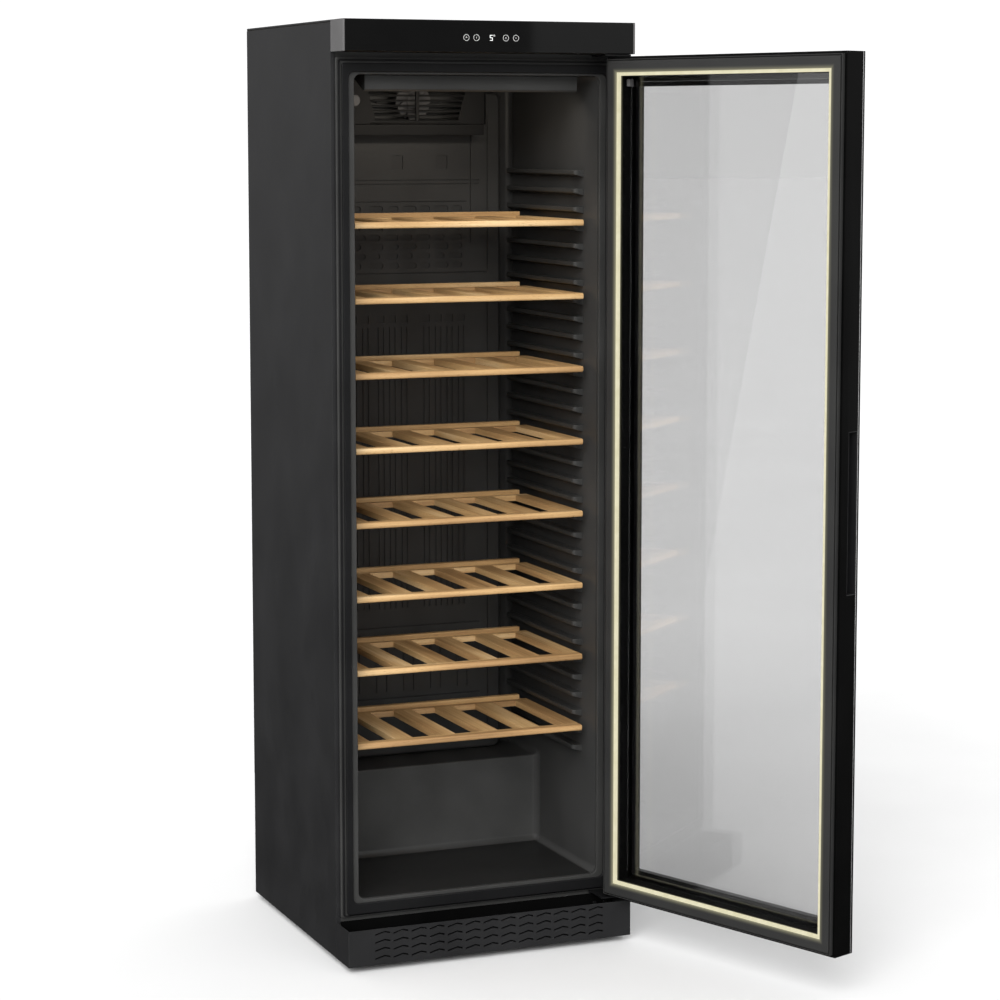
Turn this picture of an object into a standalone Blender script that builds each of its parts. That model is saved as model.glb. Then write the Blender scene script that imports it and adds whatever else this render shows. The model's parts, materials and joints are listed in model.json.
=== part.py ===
"""Full-height wine cooler: insulated cabinet, glass door on right-hand hinges, eight wooden shelves.

Frame: +Z up, the front of the closed appliance faces -Y, +X is to the right of someone facing it.
The origin lies on the floor, midway across the casing and midway between its front and its back.
The door is modelled closed, about its hinge axis, and stands open at DOOR_REST at rest.
"""

import math

import bmesh
import bpy

# ---------------------------------------------------------------- driving dimensions, metres
WIDTH = 0.595
DEPTH = 0.593
BODY_HEIGHT = 1.801
FLOOR_GAP = 0.012
GAP = 0.0003

FASCIA_HEIGHT = 0.060
KICK_HEIGHT = 0.071
TOP_PANEL = 0.0047
SHEET = 0.0010
FRONT_RETURN = 0.009

WALL = 0.045
FLOOR_WALL = 0.0425
CEILING_WALL = 0.091
BACK_WALL = 0.077
LINER = 0.0016
HUMP_HEIGHT = 0.182
HUMP_WALL = 0.040

FRAME_PROUD = 0.012
FRAME_EDGE = 0.0082
FRAME_STEP = 0.011
FRAME_RECESS = 0.006

DOOR_DEPTH = 0.050
HINGE_CLEARANCE = 0.0010
DOOR_FOOT_GAP = 0.0102
DOOR_REST = 110.9
HINGE_INSET = 0.0145
HINGE_SETBACK = 0.0202
OUTER_GLASS = 0.005
INNER_GLASS = 0.004
INNER_GLASS_DEPTH = 0.020
PANE_LEDGE = 0.0007
SPACER_INSET = 0.011
SPACER_WIDTH = 0.009
GASKET_INSET = 0.005
GASKET_WIDTH = 0.0255
GASKET_DEPTH = 0.0085
GASKET_CLEARANCE = 0.0012
LIGHT_WIDTH = 0.0055
LIGHT_DEPTH = 0.0060
HANDLE_LENGTH = 0.297
HANDLE_WIDTH = 0.022
HANDLE_REACH = 0.018
HANDLE_WALL = 0.0015
HANDLE_HEIGHT = 0.823
HANDLE_SKIN = 0.0009
PIN_RADIUS = 0.0042
BUSH_RADIUS = 0.0080
BUSH_DEPTH = 0.018
BRACKET = 0.0033

SHELF_COUNT = 8
SHELF_SIDE_CLEARANCE = 0.014
SHELF_BACK_CLEARANCE = 0.0545
SHELF_THICK = 0.012
SHELF_SETBACK = 0.0465
SHELF_OVER_STEP = 0.103
SHELF_BELOW_CEILING = 0.2907
RUNNERS_PER_SHELF = 4
RUNNER_REACH = 0.020
RUNNER_HEIGHT = 0.014
RUNNER_SETBACK = 0.080
RUNNER_BACK_CLEARANCE = 0.021
RUNNERS_BELOW = 1
RUNNERS_ABOVE = 3
SLOT_COUNT = 5
SLOT_WIDTH = 0.0516
SHELF_EDGE = 0.0319
FRONT_RAIL = 0.0225
REAR_RAIL = 0.030
STOP_HEIGHT = 0.0085
STOP_DEPTH = 0.013
STOP_INSET = 0.015

DUCT_SIDE_GAP = 0.0445
DUCT_DEPTH = 0.0535
DUCT_CEILING_GAP = 0.025
DUCT_WALL = 0.0025
COVER_HALF = 0.1515
COVER_DEPTH = 0.062
COVER_DROP = 0.092
COVER_WALL = 0.0025
GRILLE_ROWS = 5
GRILLE_PITCH = 0.0118
GRILLE_SLOT = 0.0070
GRILLE_REACH = 0.101
GRILLE_POST = 0.005
TRAY_DROP = 0.022
FAN_RADIUS = 0.038
FAN_BLADES = 7
LAMP_SIDE_GAP = 0.0325
LAMP_SETBACK = 0.040
LAMP_DEPTH = 0.062
LAMP_DROP = 0.031

KICK_THICK = 0.0020
KICK_SIDE_MARGIN = 0.0536
KICK_COLUMN_PITCH = 0.0375
KICK_ROW_PITCH = 0.0158
KICK_ROW_MARGIN = 0.0120
CHEVRON_RUN = 0.0310
CHEVRON_APEX = 0.64
CHEVRON_RISE = 0.0052
CHEVRON_WIDTH = 0.0026

SYMBOL_XS = (-0.0524, -0.0320, 0.0279, 0.0485)
FOOT_RADIUS = 0.019
FOOT_SETBACK = 0.100
FOOT_INSET = 0.050
ROLLER_RADIUS = 0.020
ROLLER_WIDTH = 0.020
ROLLER_INSET = 0.052
COMPRESSOR_RADIUS = 0.068
COMPRESSOR_HEIGHT = 0.150
COMPRESSOR_RIM = 0.004
COMPRESSOR_SIDE_GAP = 0.1675
RELAY_WIDTH = 0.030
PIPE_SPACE = 0.0265
COVER_SPACE = 0.0185
COIL_SIDE_GAP = 0.0925
COIL_RELAY_GAP = 0.061
COND_FAN_RADIUS = 0.052
SPACER_REACH = 0.0085
SPACER_HEIGHT = 0.014

# ---------------------------------------------------------------- derived levels
NOSE = DOOR_DEPTH + GAP + GASKET_DEPTH + GASKET_CLEARANCE + FRAME_PROUD
DOOR_TOP_GAP = HINGE_CLEARANCE + BRACKET + 0.0005
DOOR_FRAME_BORDER = GASKET_INSET + GASKET_WIDTH + GAP + LIGHT_WIDTH + PANE_LEDGE
SPACER_BORDER = DOOR_FRAME_BORDER + SPACER_INSET
HANDLE_SETBACK = OUTER_GLASS + 2 * GAP + HANDLE_SKIN + HANDLE_WALL + HANDLE_WIDTH / 2
HUMP_FRONT = (
    2 * (COMPRESSOR_RADIUS + COMPRESSOR_RIM) + COVER_SPACE + PIPE_SPACE + HUMP_WALL
)
X_SIDE = WIDTH / 2
Y_FRONT = -DEPTH / 2
Y_BACK = DEPTH / 2
Y_SHELL = Y_FRONT + NOSE
Z_BASE = FLOOR_GAP
Z_TOP = Z_BASE + BODY_HEIGHT
Z_KICK = Z_BASE + KICK_HEIGHT
Z_FASCIA = Z_TOP - FASCIA_HEIGHT
Z_SHELL = Z_TOP - TOP_PANEL - GAP

Z_DOOR_LOW = Z_KICK + DOOR_FOOT_GAP
Z_DOOR_HIGH = Z_FASCIA - DOOR_TOP_GAP
HINGE_X = X_SIDE - HINGE_INSET
HINGE_Y = Y_FRONT + HINGE_SETBACK

CAVITY_HALF = X_SIDE - WALL
Z_FLOOR = Z_KICK + FLOOR_WALL
Z_CEILING = Z_TOP - 0.010 - CEILING_WALL
Y_CAVITY = Y_BACK - BACK_WALL
Y_HUMP = Y_BACK - HUMP_FRONT
Z_HUMP = Z_FLOOR + HUMP_HEIGHT
Y_FRAME = Y_SHELL - FRAME_PROUD
Z_FRAME_LOW = Z_DOOR_LOW - 0.0007
Z_FRAME_HIGH = Z_FASCIA - 0.009
Y_MACHINE = Y_HUMP + HUMP_WALL
Z_MACHINE = Z_HUMP - HUMP_WALL
Y_DUCT = Y_CAVITY - DUCT_DEPTH
Z_COVER = Z_CEILING - COVER_DROP

SHELF_HALF = CAVITY_HALF - SHELF_SIDE_CLEARANCE
Y_SHELF_FRONT = Y_FRAME + SHELF_SETBACK
Y_SHELF_BACK = Y_DUCT - SHELF_BACK_CLEARANCE
Z_FIRST_SHELF = Z_HUMP + SHELF_OVER_STEP
Z_LAST_SHELF = Z_CEILING - SHELF_BELOW_CEILING
SHELF_PITCH = (Z_LAST_SHELF - Z_FIRST_SHELF) / (SHELF_COUNT - 1)
RUNNER_PITCH = SHELF_PITCH / RUNNERS_PER_SHELF
DUCT_HALF = CAVITY_HALF - DUCT_SIDE_GAP
LAMP_HALF = CAVITY_HALF - LAMP_SIDE_GAP

PARTS = None


# ---------------------------------------------------------------- materials
def finish(name, colour, roughness, metallic=0.0, alpha=1.0):
    found = bpy.data.materials.get(name)
    if found:
        return found
    made = bpy.data.materials.new(name)
    made.use_nodes = True
    shader = made.node_tree.nodes["Principled BSDF"]
    shader.inputs["Base Color"].default_value = (*colour, 1.0)
    shader.inputs["Roughness"].default_value = roughness
    shader.inputs["Metallic"].default_value = metallic
    shader.inputs["Alpha"].default_value = alpha
    return made


def casing_paint():
    return finish("satin_black_steel", (0.030, 0.030, 0.030), 0.45)


def liner_plastic():
    return finish("black_liner_plastic", (0.022, 0.022, 0.022), 0.5)


def black_plastic():
    return finish("black_plastic", (0.012, 0.012, 0.012), 0.4)


def grey_plastic():
    return finish("grey_plastic", (0.12, 0.12, 0.12), 0.35)


def gloss_glass():
    return finish("black_glass", (0.008, 0.008, 0.009), 0.05)


def clear_glass():
    return finish("tinted_glass", (0.55, 0.57, 0.57), 0.03, alpha=0.35)


def beech():
    return finish("beech", (0.55, 0.34, 0.13), 0.45)


def seal_rubber():
    return finish("seal_rubber", (0.045, 0.045, 0.045), 0.6)


def light_diffuser():
    return finish("light_diffuser", (0.92, 0.89, 0.68), 0.3)


def zinc_steel():
    return finish("zinc_steel", (0.42, 0.42, 0.42), 0.35, 1.0)


def aluminium():
    return finish("aluminium", (0.62, 0.62, 0.63), 0.3, 1.0)


def copper():
    return finish("copper", (0.66, 0.32, 0.18), 0.3, 1.0)


def foam():
    return finish("foam", (0.75, 0.66, 0.40), 0.9)


def circuit_board():
    return finish("circuit_board", (0.02, 0.14, 0.06), 0.5)


def enamel():
    return finish("black_enamel", (0.015, 0.015, 0.015), 0.3)


def dark_rubber():
    return finish("dark_rubber", (0.02, 0.02, 0.02), 0.8)


def white_plastic():
    return finish("white_plastic", (0.70, 0.70, 0.68), 0.4)


# ---------------------------------------------------------------- shape helpers
def keep(obj, material=None):
    """Files a finished sub-part in the model's collection with its material."""
    for group in list(obj.users_collection):
        group.objects.unlink(obj)
    PARTS.objects.link(obj)
    if material:
        obj.data.materials.clear()
        obj.data.materials.append(material)
    return obj


def new_mesh(name, bm):
    bmesh.ops.recalc_face_normals(bm, faces=bm.faces)
    data = bpy.data.meshes.new(name)
    bm.to_mesh(data)
    bm.free()
    obj = bpy.data.objects.new(name, data)
    bpy.context.scene.collection.objects.link(obj)
    return obj


def block(name, low, high):
    """A box between two opposite corners."""
    bm = bmesh.new()
    bmesh.ops.create_cube(bm, size=1.0)
    size = [b - a for a, b in zip(low, high)]
    middle = [(a + b) / 2 for a, b in zip(low, high)]
    bmesh.ops.scale(bm, vec=size, verts=bm.verts)
    bmesh.ops.translate(bm, vec=middle, verts=bm.verts)
    return new_mesh(name, bm)


def cylinder(name, centre, radius, length, axis="Z", sides=24, tip=None):
    """A cylinder, or a cone where tip gives the other end's radius, about its centre."""
    bm = bmesh.new()
    far = radius if tip is None else tip
    bmesh.ops.create_cone(
        bm, cap_ends=True, segments=sides, radius1=radius, radius2=far, depth=length
    )
    obj = new_mesh(name, bm)
    turn = {"Z": (0, 0, 0), "X": (0, math.pi / 2, 0), "Y": (-math.pi / 2, 0, 0)}[axis]
    obj.rotation_euler = turn
    obj.location = centre
    settle(obj)
    return obj


def settle(obj):
    """Bakes an object's place into its mesh, so that its own origin is the world's."""
    bpy.context.view_layer.update()
    obj.data.transform(obj.matrix_world)
    obj.matrix_world.identity()
    obj.location = (0, 0, 0)
    obj.rotation_euler = (0, 0, 0)


def outline(name, loops, low, high, plane="XZ"):
    """Closed outlines, with any holes in them, extruded from low to high along the third axis."""
    curve = bpy.data.curves.new(name, "CURVE")
    curve.dimensions = "2D"
    curve.fill_mode = "BOTH"
    curve.extrude = (high - low) / 2
    for loop in loops:
        spline = curve.splines.new("POLY")
        spline.points.add(len(loop) - 1)
        for point, (a, b) in zip(spline.points, loop):
            point.co = (a, b, 0, 1)
        spline.use_cyclic_u = True
    obj = bpy.data.objects.new(name, curve)
    bpy.context.scene.collection.objects.link(obj)
    middle = (low + high) / 2
    if plane == "XZ":
        obj.rotation_euler = (math.pi / 2, 0, 0)
        obj.location = (0, middle, 0)
    elif plane == "YZ":
        obj.rotation_euler = (math.pi / 2, 0, math.pi / 2)
        obj.location = (middle, 0, 0)
    else:
        obj.location = (0, 0, middle)
    return solid_of_curve(obj)


def solid_of_curve(obj):
    """Replaces a curve by the closed mesh it evaluates to, with its caps welded on."""
    bpy.context.view_layer.update()
    graph = bpy.context.evaluated_depsgraph_get()
    data = bpy.data.meshes.new_from_object(obj.evaluated_get(graph))
    bm = bmesh.new()
    bm.from_mesh(data)
    bmesh.ops.remove_doubles(bm, verts=bm.verts, dist=0.00001)
    bmesh.ops.recalc_face_normals(bm, faces=bm.faces)
    bm.to_mesh(data)
    bm.free()
    made = bpy.data.objects.new(obj.name + "_mesh", data)
    made.matrix_world = obj.matrix_world.copy()
    name = obj.name
    bpy.data.objects.remove(obj)
    made.name = name
    bpy.context.scene.collection.objects.link(made)
    settle(made)
    return made


def tube(name, points, radius, rounds=2):
    """A round tube with filled ends along a list of points."""
    curve = bpy.data.curves.new(name, "CURVE")
    curve.dimensions = "3D"
    curve.bevel_depth = radius
    curve.bevel_resolution = rounds
    curve.use_fill_caps = True
    spline = curve.splines.new("POLY")
    spline.points.add(len(points) - 1)
    for point, place in zip(spline.points, points):
        point.co = (*place, 1)
    obj = bpy.data.objects.new(name, curve)
    bpy.context.scene.collection.objects.link(obj)
    return solid_of_curve(obj)


def turned(name, profile, centre, sides=32, axis="Z"):
    """A turned body from a profile of (radius, height) pairs that runs from top to bottom."""
    bm = bmesh.new()
    verts = [bm.verts.new((r, 0, z)) for r, z in profile]
    for a, b in zip(verts, verts[1:]):
        bm.edges.new((a, b))
    bmesh.ops.spin(
        bm,
        geom=bm.verts[:] + bm.edges[:],
        cent=(0, 0, 0),
        axis=(0, 0, 1),
        angle=math.tau,
        steps=sides,
        use_merge=True,
    )
    bmesh.ops.remove_doubles(bm, verts=bm.verts, dist=0.00002)
    obj = new_mesh(name, bm)
    turn = {"Z": (0, 0, 0), "X": (0, math.pi / 2, 0), "Y": (-math.pi / 2, 0, 0)}[axis]
    obj.rotation_euler = turn
    obj.location = centre
    settle(obj)
    smooth(obj)
    return obj


def smooth(obj, angle=35):
    obj.data.shade_smooth()
    obj.data.set_sharp_from_angle(angle=math.radians(angle))


def boolean(obj, others, operation="DIFFERENCE"):
    """Cuts or joins other objects into one, applies the result and files them with the cutters."""
    for other in others:
        change = obj.modifiers.new("join" if operation == "UNION" else "cut", "BOOLEAN")
        change.operation = operation
        change.solver = "EXACT"
        change.object = other
    bpy.context.view_layer.update()
    graph = bpy.context.evaluated_depsgraph_get()
    data = bpy.data.meshes.new_from_object(obj.evaluated_get(graph))
    obj.modifiers.clear()
    old = obj.data
    obj.data = data
    bpy.data.meshes.remove(old)
    for other in others:
        bpy.data.objects.remove(other)
    return obj


def rectangle(x0, x1, z0, z1):
    return [(x0, z0), (x1, z0), (x1, z1), (x0, z1)]


def round_rectangle(x0, x1, z0, z1, radius, steps=4):
    """A rectangle whose corners are arcs, anticlockwise from the lower right one."""
    points = []
    centres = [
        (x1 - radius, z0 + radius, -90),
        (x1 - radius, z1 - radius, 0),
        (x0 + radius, z1 - radius, 90),
        (x0 + radius, z0 + radius, 180),
    ]
    for x, z, start in centres:
        for k in range(steps + 1):
            angle = math.radians(start + 90 * k / steps)
            points.append((x + radius * math.cos(angle), z + radius * math.sin(angle)))
    return points


def bevelled(obj, width, segments=2, angle=30):
    """Rounds the sharp edges of a closed mesh."""
    change = obj.modifiers.new("round", "BEVEL")
    change.width = width
    change.segments = segments
    change.limit_method = "ANGLE"
    change.angle_limit = math.radians(angle)
    return obj


def folded_sheet(name, path, low, high, thickness):
    """Sheet metal folded along a path in plan, from one height to another, to the path's right."""
    bm = bmesh.new()
    lower = [bm.verts.new((x, y, low)) for x, y in path]
    edges = [bm.edges.new(pair) for pair in zip(lower, lower[1:])]
    raised = bmesh.ops.extrude_edge_only(bm, edges=edges)["geom"]
    tops = [v for v in raised if isinstance(v, bmesh.types.BMVert)]
    bmesh.ops.translate(bm, vec=(0, 0, high - low), verts=tops)
    data = bpy.data.meshes.new(name)
    bm.to_mesh(data)
    bm.free()
    obj = bpy.data.objects.new(name, data)
    bpy.context.scene.collection.objects.link(obj)
    wall = obj.modifiers.new("wall", "SOLIDIFY")
    wall.thickness = thickness
    wall.offset = -1
    wall.use_even_offset = True
    return obj


def apply_all(obj):
    """Replaces a mesh by what its modifiers make of it."""
    bpy.context.view_layer.update()
    graph = bpy.context.evaluated_depsgraph_get()
    data = bpy.data.meshes.new_from_object(obj.evaluated_get(graph))
    obj.modifiers.clear()
    obj.data = data
    return obj


# ---------------------------------------------------------------- cabinet casing
def side_panels():
    """Painted steel sides, folded inwards along their front and back edges."""
    rear = Y_BACK - SHEET - GAP
    for side, name in ((-1, "side_panel_left"), (1, "side_panel_right")):
        path = [
            (side * (X_SIDE - FRONT_RETURN), Y_SHELL),
            (side * X_SIDE, Y_SHELL),
            (side * X_SIDE, rear),
            (side * (X_SIDE - FRONT_RETURN), rear),
        ]
        if side > 0:
            path.reverse()
        obj = folded_sheet(name, path, Z_BASE, Z_SHELL, SHEET)
        keep(apply_all(obj), casing_paint())


def top_panel():
    obj = block(
        "top_panel",
        (-X_SIDE, Y_SHELL, Z_SHELL + GAP),
        (X_SIDE, Y_BACK, Z_TOP),
    )
    bevelled(obj, 0.001, 1)
    keep(obj, casing_paint())


def rear_panel():
    """The flat steel back over the insulated part of the cabinet."""
    obj = block(
        "rear_panel",
        (-X_SIDE, Y_BACK - SHEET, Z_MACHINE),
        (X_SIDE, Y_BACK, Z_SHELL),
    )
    keep(obj, zinc_steel())


def machine_cover():
    """The slotted cover over the compressor space, at the bottom of the back."""
    low, high = Z_BASE + 0.030, Z_MACHINE - GAP
    half = X_SIDE - FRONT_RETURN - 0.004
    slots = []
    rows, columns, pitch = 6, 5, 0.024
    for column in range(columns):
        middle = (column - (columns - 1) / 2) * 0.098
        for row in range(rows):
            z = low + 0.050 + row * pitch
            slots.append(rectangle(middle - 0.036, middle + 0.036, z, z + 0.008))
    obj = outline(
        "machine_cover",
        [rectangle(-half, half, low, high)] + slots,
        Y_BACK - SHEET - GAP - 0.0015,
        Y_BACK - SHEET - GAP,
    )
    keep(obj, zinc_steel())


def base_pan():
    """A steel tray that ties the sides together, with a fork and an axle for each rear roller."""
    front = Y_SHELL + SHEET + GAP
    rear = Y_BACK - 0.004
    profile = [
        (front, Z_KICK - 0.008),
        (front, Z_BASE),
        (rear, Z_BASE),
        (rear, Z_BASE + 0.028),
        (rear - 0.0015, Z_BASE + 0.028),
        (rear - 0.0015, Z_BASE + 0.0015),
        (front + 0.0015, Z_BASE + 0.0015),
        (front + 0.0015, Z_KICK - 0.008),
    ]
    inner = X_SIDE - FRONT_RETURN - 0.002
    obj = outline("base_pan", [profile], -inner, inner, "YZ")
    cuts = []
    for side in (-1, 1):
        x = side * (X_SIDE - FOOT_INSET)
        y = Y_SHELL + FOOT_SETBACK - NOSE + 0.020
        cuts.append(cylinder("foot_hole", (x, y, Z_BASE), 0.0056, 0.02, sides=16))
        x = side * (X_SIDE - ROLLER_INSET)
        y = roller_y()
        reach = ROLLER_RADIUS + 0.003
        wide = ROLLER_WIDTH / 2 + 0.0035
        cuts.append(
            block(
                "roller_hole",
                (x - wide, y - reach, Z_BASE - 0.01),
                (x + wide, y + reach, Z_BASE + 0.01),
            )
        )
    boolean(obj, cuts)
    keep(boolean(obj, [roller_fork(-1), roller_fork(1)], "UNION"), zinc_steel())


def roller_y():
    return Y_BACK - 0.050


def cavity_profile(grow, front):
    """The stepped outline of the cavity, from the side, grown by a wall's thickness."""
    return [
        (front, Z_FLOOR - grow),
        (Y_HUMP + grow, Z_FLOOR - grow),
        (Y_HUMP + grow, Z_HUMP - grow),
        (Y_CAVITY + grow, Z_HUMP - grow),
        (Y_CAVITY + grow, Z_CEILING + grow),
        (front, Z_CEILING + grow),
    ]


def insulation_foam():
    """Rigid foam that fills the space between the casing and the liner."""
    half = X_SIDE - SHEET - GAP
    front = Y_SHELL + SHEET + LINER + 2 * GAP
    rear = Y_BACK - SHEET - 2 * GAP - SHEET
    low = Z_KICK + 0.003
    profile = [
        (front, low),
        (Y_MACHINE, low),
        (Y_MACHINE, Z_MACHINE),
        (rear, Z_MACHINE),
        (rear, Z_SHELL - 2 * GAP),
        (front, Z_SHELL - 2 * GAP),
    ]
    obj = outline("insulation_foam", [profile], -half, half, "YZ")
    reach = CAVITY_HALF + LINER + GAP
    hollow = outline(
        "cavity_cut", [cavity_profile(LINER + GAP, Y_FRAME)], -reach, reach, "YZ"
    )
    keep(boolean(obj, [hollow]), foam())


def runner_levels():
    """Heights of the tops of the moulded runners, from the lowest one up."""
    first = Z_FIRST_SHELF - GAP
    count = RUNNERS_PER_SHELF * (SHELF_COUNT - 1) + RUNNERS_BELOW + RUNNERS_ABOVE + 1
    return [first + (k - RUNNERS_BELOW) * RUNNER_PITCH for k in range(count)]


def inner_liner():
    """The moulded liner: a thin box with a step over the compressor and shelf runners."""
    reach = CAVITY_HALF + LINER
    start = Y_SHELL + SHEET + GAP
    obj = outline("inner_liner", [cavity_profile(LINER, start)], -reach, reach, "YZ")
    hollow = outline(
        "liner_cut", [cavity_profile(0, Y_FRAME)], -CAVITY_HALF, CAVITY_HALF, "YZ"
    )
    boolean(obj, [hollow])
    flange_half = X_SIDE - SHEET - GAP
    flange = outline(
        "liner_flange",
        [
            rectangle(-flange_half, flange_half, Z_KICK + 0.005, Z_SHELL - 0.020),
            rectangle(-CAVITY_HALF, CAVITY_HALF, Z_FLOOR, Z_CEILING),
        ],
        start,
        start + LINER,
    )
    front = Y_FRAME + RUNNER_SETBACK
    rear = Y_CAVITY - RUNNER_BACK_CLEARANCE
    loops = {-1: [], 1: []}
    for top in runner_levels():
        for side in (-1, 1):
            wall = side * (CAVITY_HALF + LINER / 2)
            tip = side * (CAVITY_HALF - RUNNER_REACH)
            shape = [
                (wall, top),
                (tip, top),
                (tip, top - 0.6 * RUNNER_HEIGHT),
                (wall, top - RUNNER_HEIGHT),
            ]
            loops[side].append(shape if side < 0 else list(reversed(shape)))
    runners = [
        outline("runners", loops[side], front, rear)
        for side in (-1, 1)
    ]
    boolean(obj, [flange] + runners, "UNION")
    keep(obj, liner_plastic())


def front_frame():
    """The stepped plastic frame round the opening, which the door's seal closes on."""
    outer = X_SIDE - FRAME_EDGE
    face = outer - FRAME_STEP
    inner = CAVITY_HALF + 0.0005
    rear = Y_SHELL - GAP
    back_ring = outline(
        "front_frame",
        [
            rectangle(-outer, outer, Z_FRAME_LOW, Z_FRAME_HIGH),
            rectangle(-inner, inner, Z_FLOOR - 0.0005, Z_CEILING + 0.0005),
        ],
        Y_FRAME + FRAME_RECESS,
        rear,
    )
    low = Z_FRAME_LOW + FRAME_STEP / 2
    high = Z_FRAME_HIGH - FRAME_STEP
    face_ring = outline(
        "frame_face",
        [
            rectangle(-face, face, low, high),
            rectangle(
                -(inner + 0.012), inner + 0.012, Z_FLOOR - 0.006, Z_CEILING + 0.004
            ),
        ],
        Y_FRAME,
        Y_FRAME + FRAME_RECESS + 0.001,
    )
    keep(boolean(back_ring, [face_ring], "UNION"), liner_plastic())


# ---------------------------------------------------------------- plinth and control panel
def chevron(x, z):
    """One slot of the plinth's grille: a long rise and a short fall, like a flattened tick."""
    apex = x + CHEVRON_RUN * CHEVRON_APEX
    end = x + CHEVRON_RUN
    fall = CHEVRON_RISE * 0.75
    half = CHEVRON_WIDTH / 2
    return [
        (x, z - half),
        (apex, z + CHEVRON_RISE - half),
        (end, z + CHEVRON_RISE - fall - half),
        (end, z + CHEVRON_RISE - fall + half),
        (apex, z + CHEVRON_RISE + half),
        (x, z + half),
    ]


def kick_plate():
    """The plinth: one folded sheet with a grille of chevron slots."""
    rear = Y_SHELL - GAP
    path = [
        (X_SIDE, rear),
        (X_SIDE, Y_FRONT),
        (-X_SIDE, Y_FRONT),
        (-X_SIDE, rear),
    ]
    obj = apply_all(folded_sheet("kick_plate", path, Z_BASE, Z_KICK, KICK_THICK))
    columns = round((WIDTH - 2 * KICK_SIDE_MARGIN) / KICK_COLUMN_PITCH)
    rows = 1 + int((KICK_HEIGHT - 2 * KICK_ROW_MARGIN + 0.001) / KICK_ROW_PITCH)
    start = -columns * KICK_COLUMN_PITCH / 2
    low = Z_BASE + KICK_ROW_MARGIN
    loops = [
        chevron(start + column * KICK_COLUMN_PITCH, low + row * KICK_ROW_PITCH)
        for row in range(rows)
        for column in range(columns)
    ]
    slots = outline("slots", loops, Y_FRONT - 0.002, Y_FRONT + KICK_THICK + 0.002)
    keep(boolean(obj, [slots]), casing_paint())


def fascia():
    """The control panel: a hollow housing, two end caps and a glass front."""
    cap = 0.0038
    rear = Y_SHELL - 0.003
    glass = 0.003
    half = X_SIDE - cap - GAP
    housing = block(
        "fascia_housing",
        (-half, Y_FRONT + glass + GAP, Z_FASCIA),
        (half, rear, Z_TOP),
    )
    wall = 0.0022
    hollow = block(
        "fascia_cut",
        (-half + wall, Y_FRONT + glass + GAP + wall, Z_FASCIA + wall),
        (half - wall, rear + 0.01, Z_TOP - wall),
    )
    keep(boolean(housing, [hollow]), black_plastic())
    for side, name in ((-1, "fascia_end_cap_left"), (1, "fascia_end_cap_right")):
        near, far = sorted((side * X_SIDE, side * (X_SIDE - cap)))
        obj = block(
            name, (near, Y_FRONT, Z_FASCIA), (far, Y_SHELL - GAP, Z_TOP)
        )
        bevelled(obj, 0.0008, 1)
        keep(obj, grey_plastic())
    front = block(
        "fascia_glass",
        (-half, Y_FRONT, Z_FASCIA + 0.0005),
        (half, Y_FRONT + glass, Z_TOP - 0.0005),
    )
    bevelled(front, 0.0006, 1)
    keep(front, gloss_glass())


def controls():
    """The board behind the glass, with a lit display and a touch pad under each symbol."""
    middle = Z_FASCIA + 0.0275
    board_front = Y_FRONT + 0.0115
    board = block(
        "control_board",
        (-0.110, board_front, middle - 0.019),
        (0.110, board_front + 0.0016, middle + 0.019),
    )
    keep(board, circuit_board())
    back = board_front - GAP
    carrier = block(
        "display_module",
        (-0.064, back - 0.0012, middle - 0.009),
        (0.060, back, middle + 0.009),
    )
    raised = [
        cylinder("pad", (x, back - 0.0022, middle), 0.0065, 0.0036, "Y", 16)
        for x in SYMBOL_XS
    ]
    raised.append(
        block(
            "display",
            (-0.013, back - 0.0045, middle - 0.010),
            (0.013, back - 0.0002, middle + 0.010),
        )
    )
    keep(boolean(carrier, raised, "UNION"), white_plastic())


# ---------------------------------------------------------------- inside the cavity
def ceiling_lamp():
    """A wedge-shaped lamp cover under the ceiling with its strip of lights inside."""
    front = Y_FRAME + LAMP_SETBACK
    top = Z_CEILING - GAP
    low = Z_CEILING - LAMP_DROP
    profile = [
        (front, top),
        (front, low + 0.004),
        (front + 0.005, low),
        (front + LAMP_DEPTH, top - 0.006),
        (front + LAMP_DEPTH, top),
    ]
    cover = outline("ceiling_lamp_cover", [profile], -LAMP_HALF, LAMP_HALF, "YZ")
    inner = [
        (front + 0.002, top + 0.01),
        (front + 0.002, low + 0.0055),
        (front + 0.0062, low + 0.0022),
        (front + LAMP_DEPTH - 0.006, top - 0.0060),
        (front + LAMP_DEPTH - 0.006, top + 0.01),
    ]
    reach = LAMP_HALF - 0.002
    hollow = outline("lamp_cut", [inner], -reach, reach, "YZ")
    keep(boolean(cover, [hollow]), liner_plastic())
    board = block(
        "ceiling_lamp_board",
        (-LAMP_HALF + 0.030, front + 0.012, top - 0.0035),
        (LAMP_HALF - 0.030, front + 0.030, top - 0.0015),
    )
    keep(board, white_plastic())


def air_duct_panel():
    """The moulded cover over the back wall, which leads the cold air down."""
    rear = Y_CAVITY - GAP
    front = Y_DUCT
    low = Z_HUMP + 0.001
    high = Z_CEILING - DUCT_CEILING_GAP
    outside = round_rectangle(-DUCT_HALF, DUCT_HALF, low, high, 0.018)
    inside = round_rectangle(
        -DUCT_HALF + DUCT_WALL,
        DUCT_HALF - DUCT_WALL,
        low + DUCT_WALL,
        high - DUCT_WALL,
        0.016,
    )
    obj = outline("air_duct_panel", [outside], front, rear)
    cuts = [outline("duct_cut", [inside], front + DUCT_WALL, rear + 0.01)]
    cuts.append(
        cylinder("fan_mouth", (0, front, fan_height()), FAN_RADIUS + 0.002, 0.03, "Y", 24)
    )
    keep(boolean(obj, cuts), liner_plastic())


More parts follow.
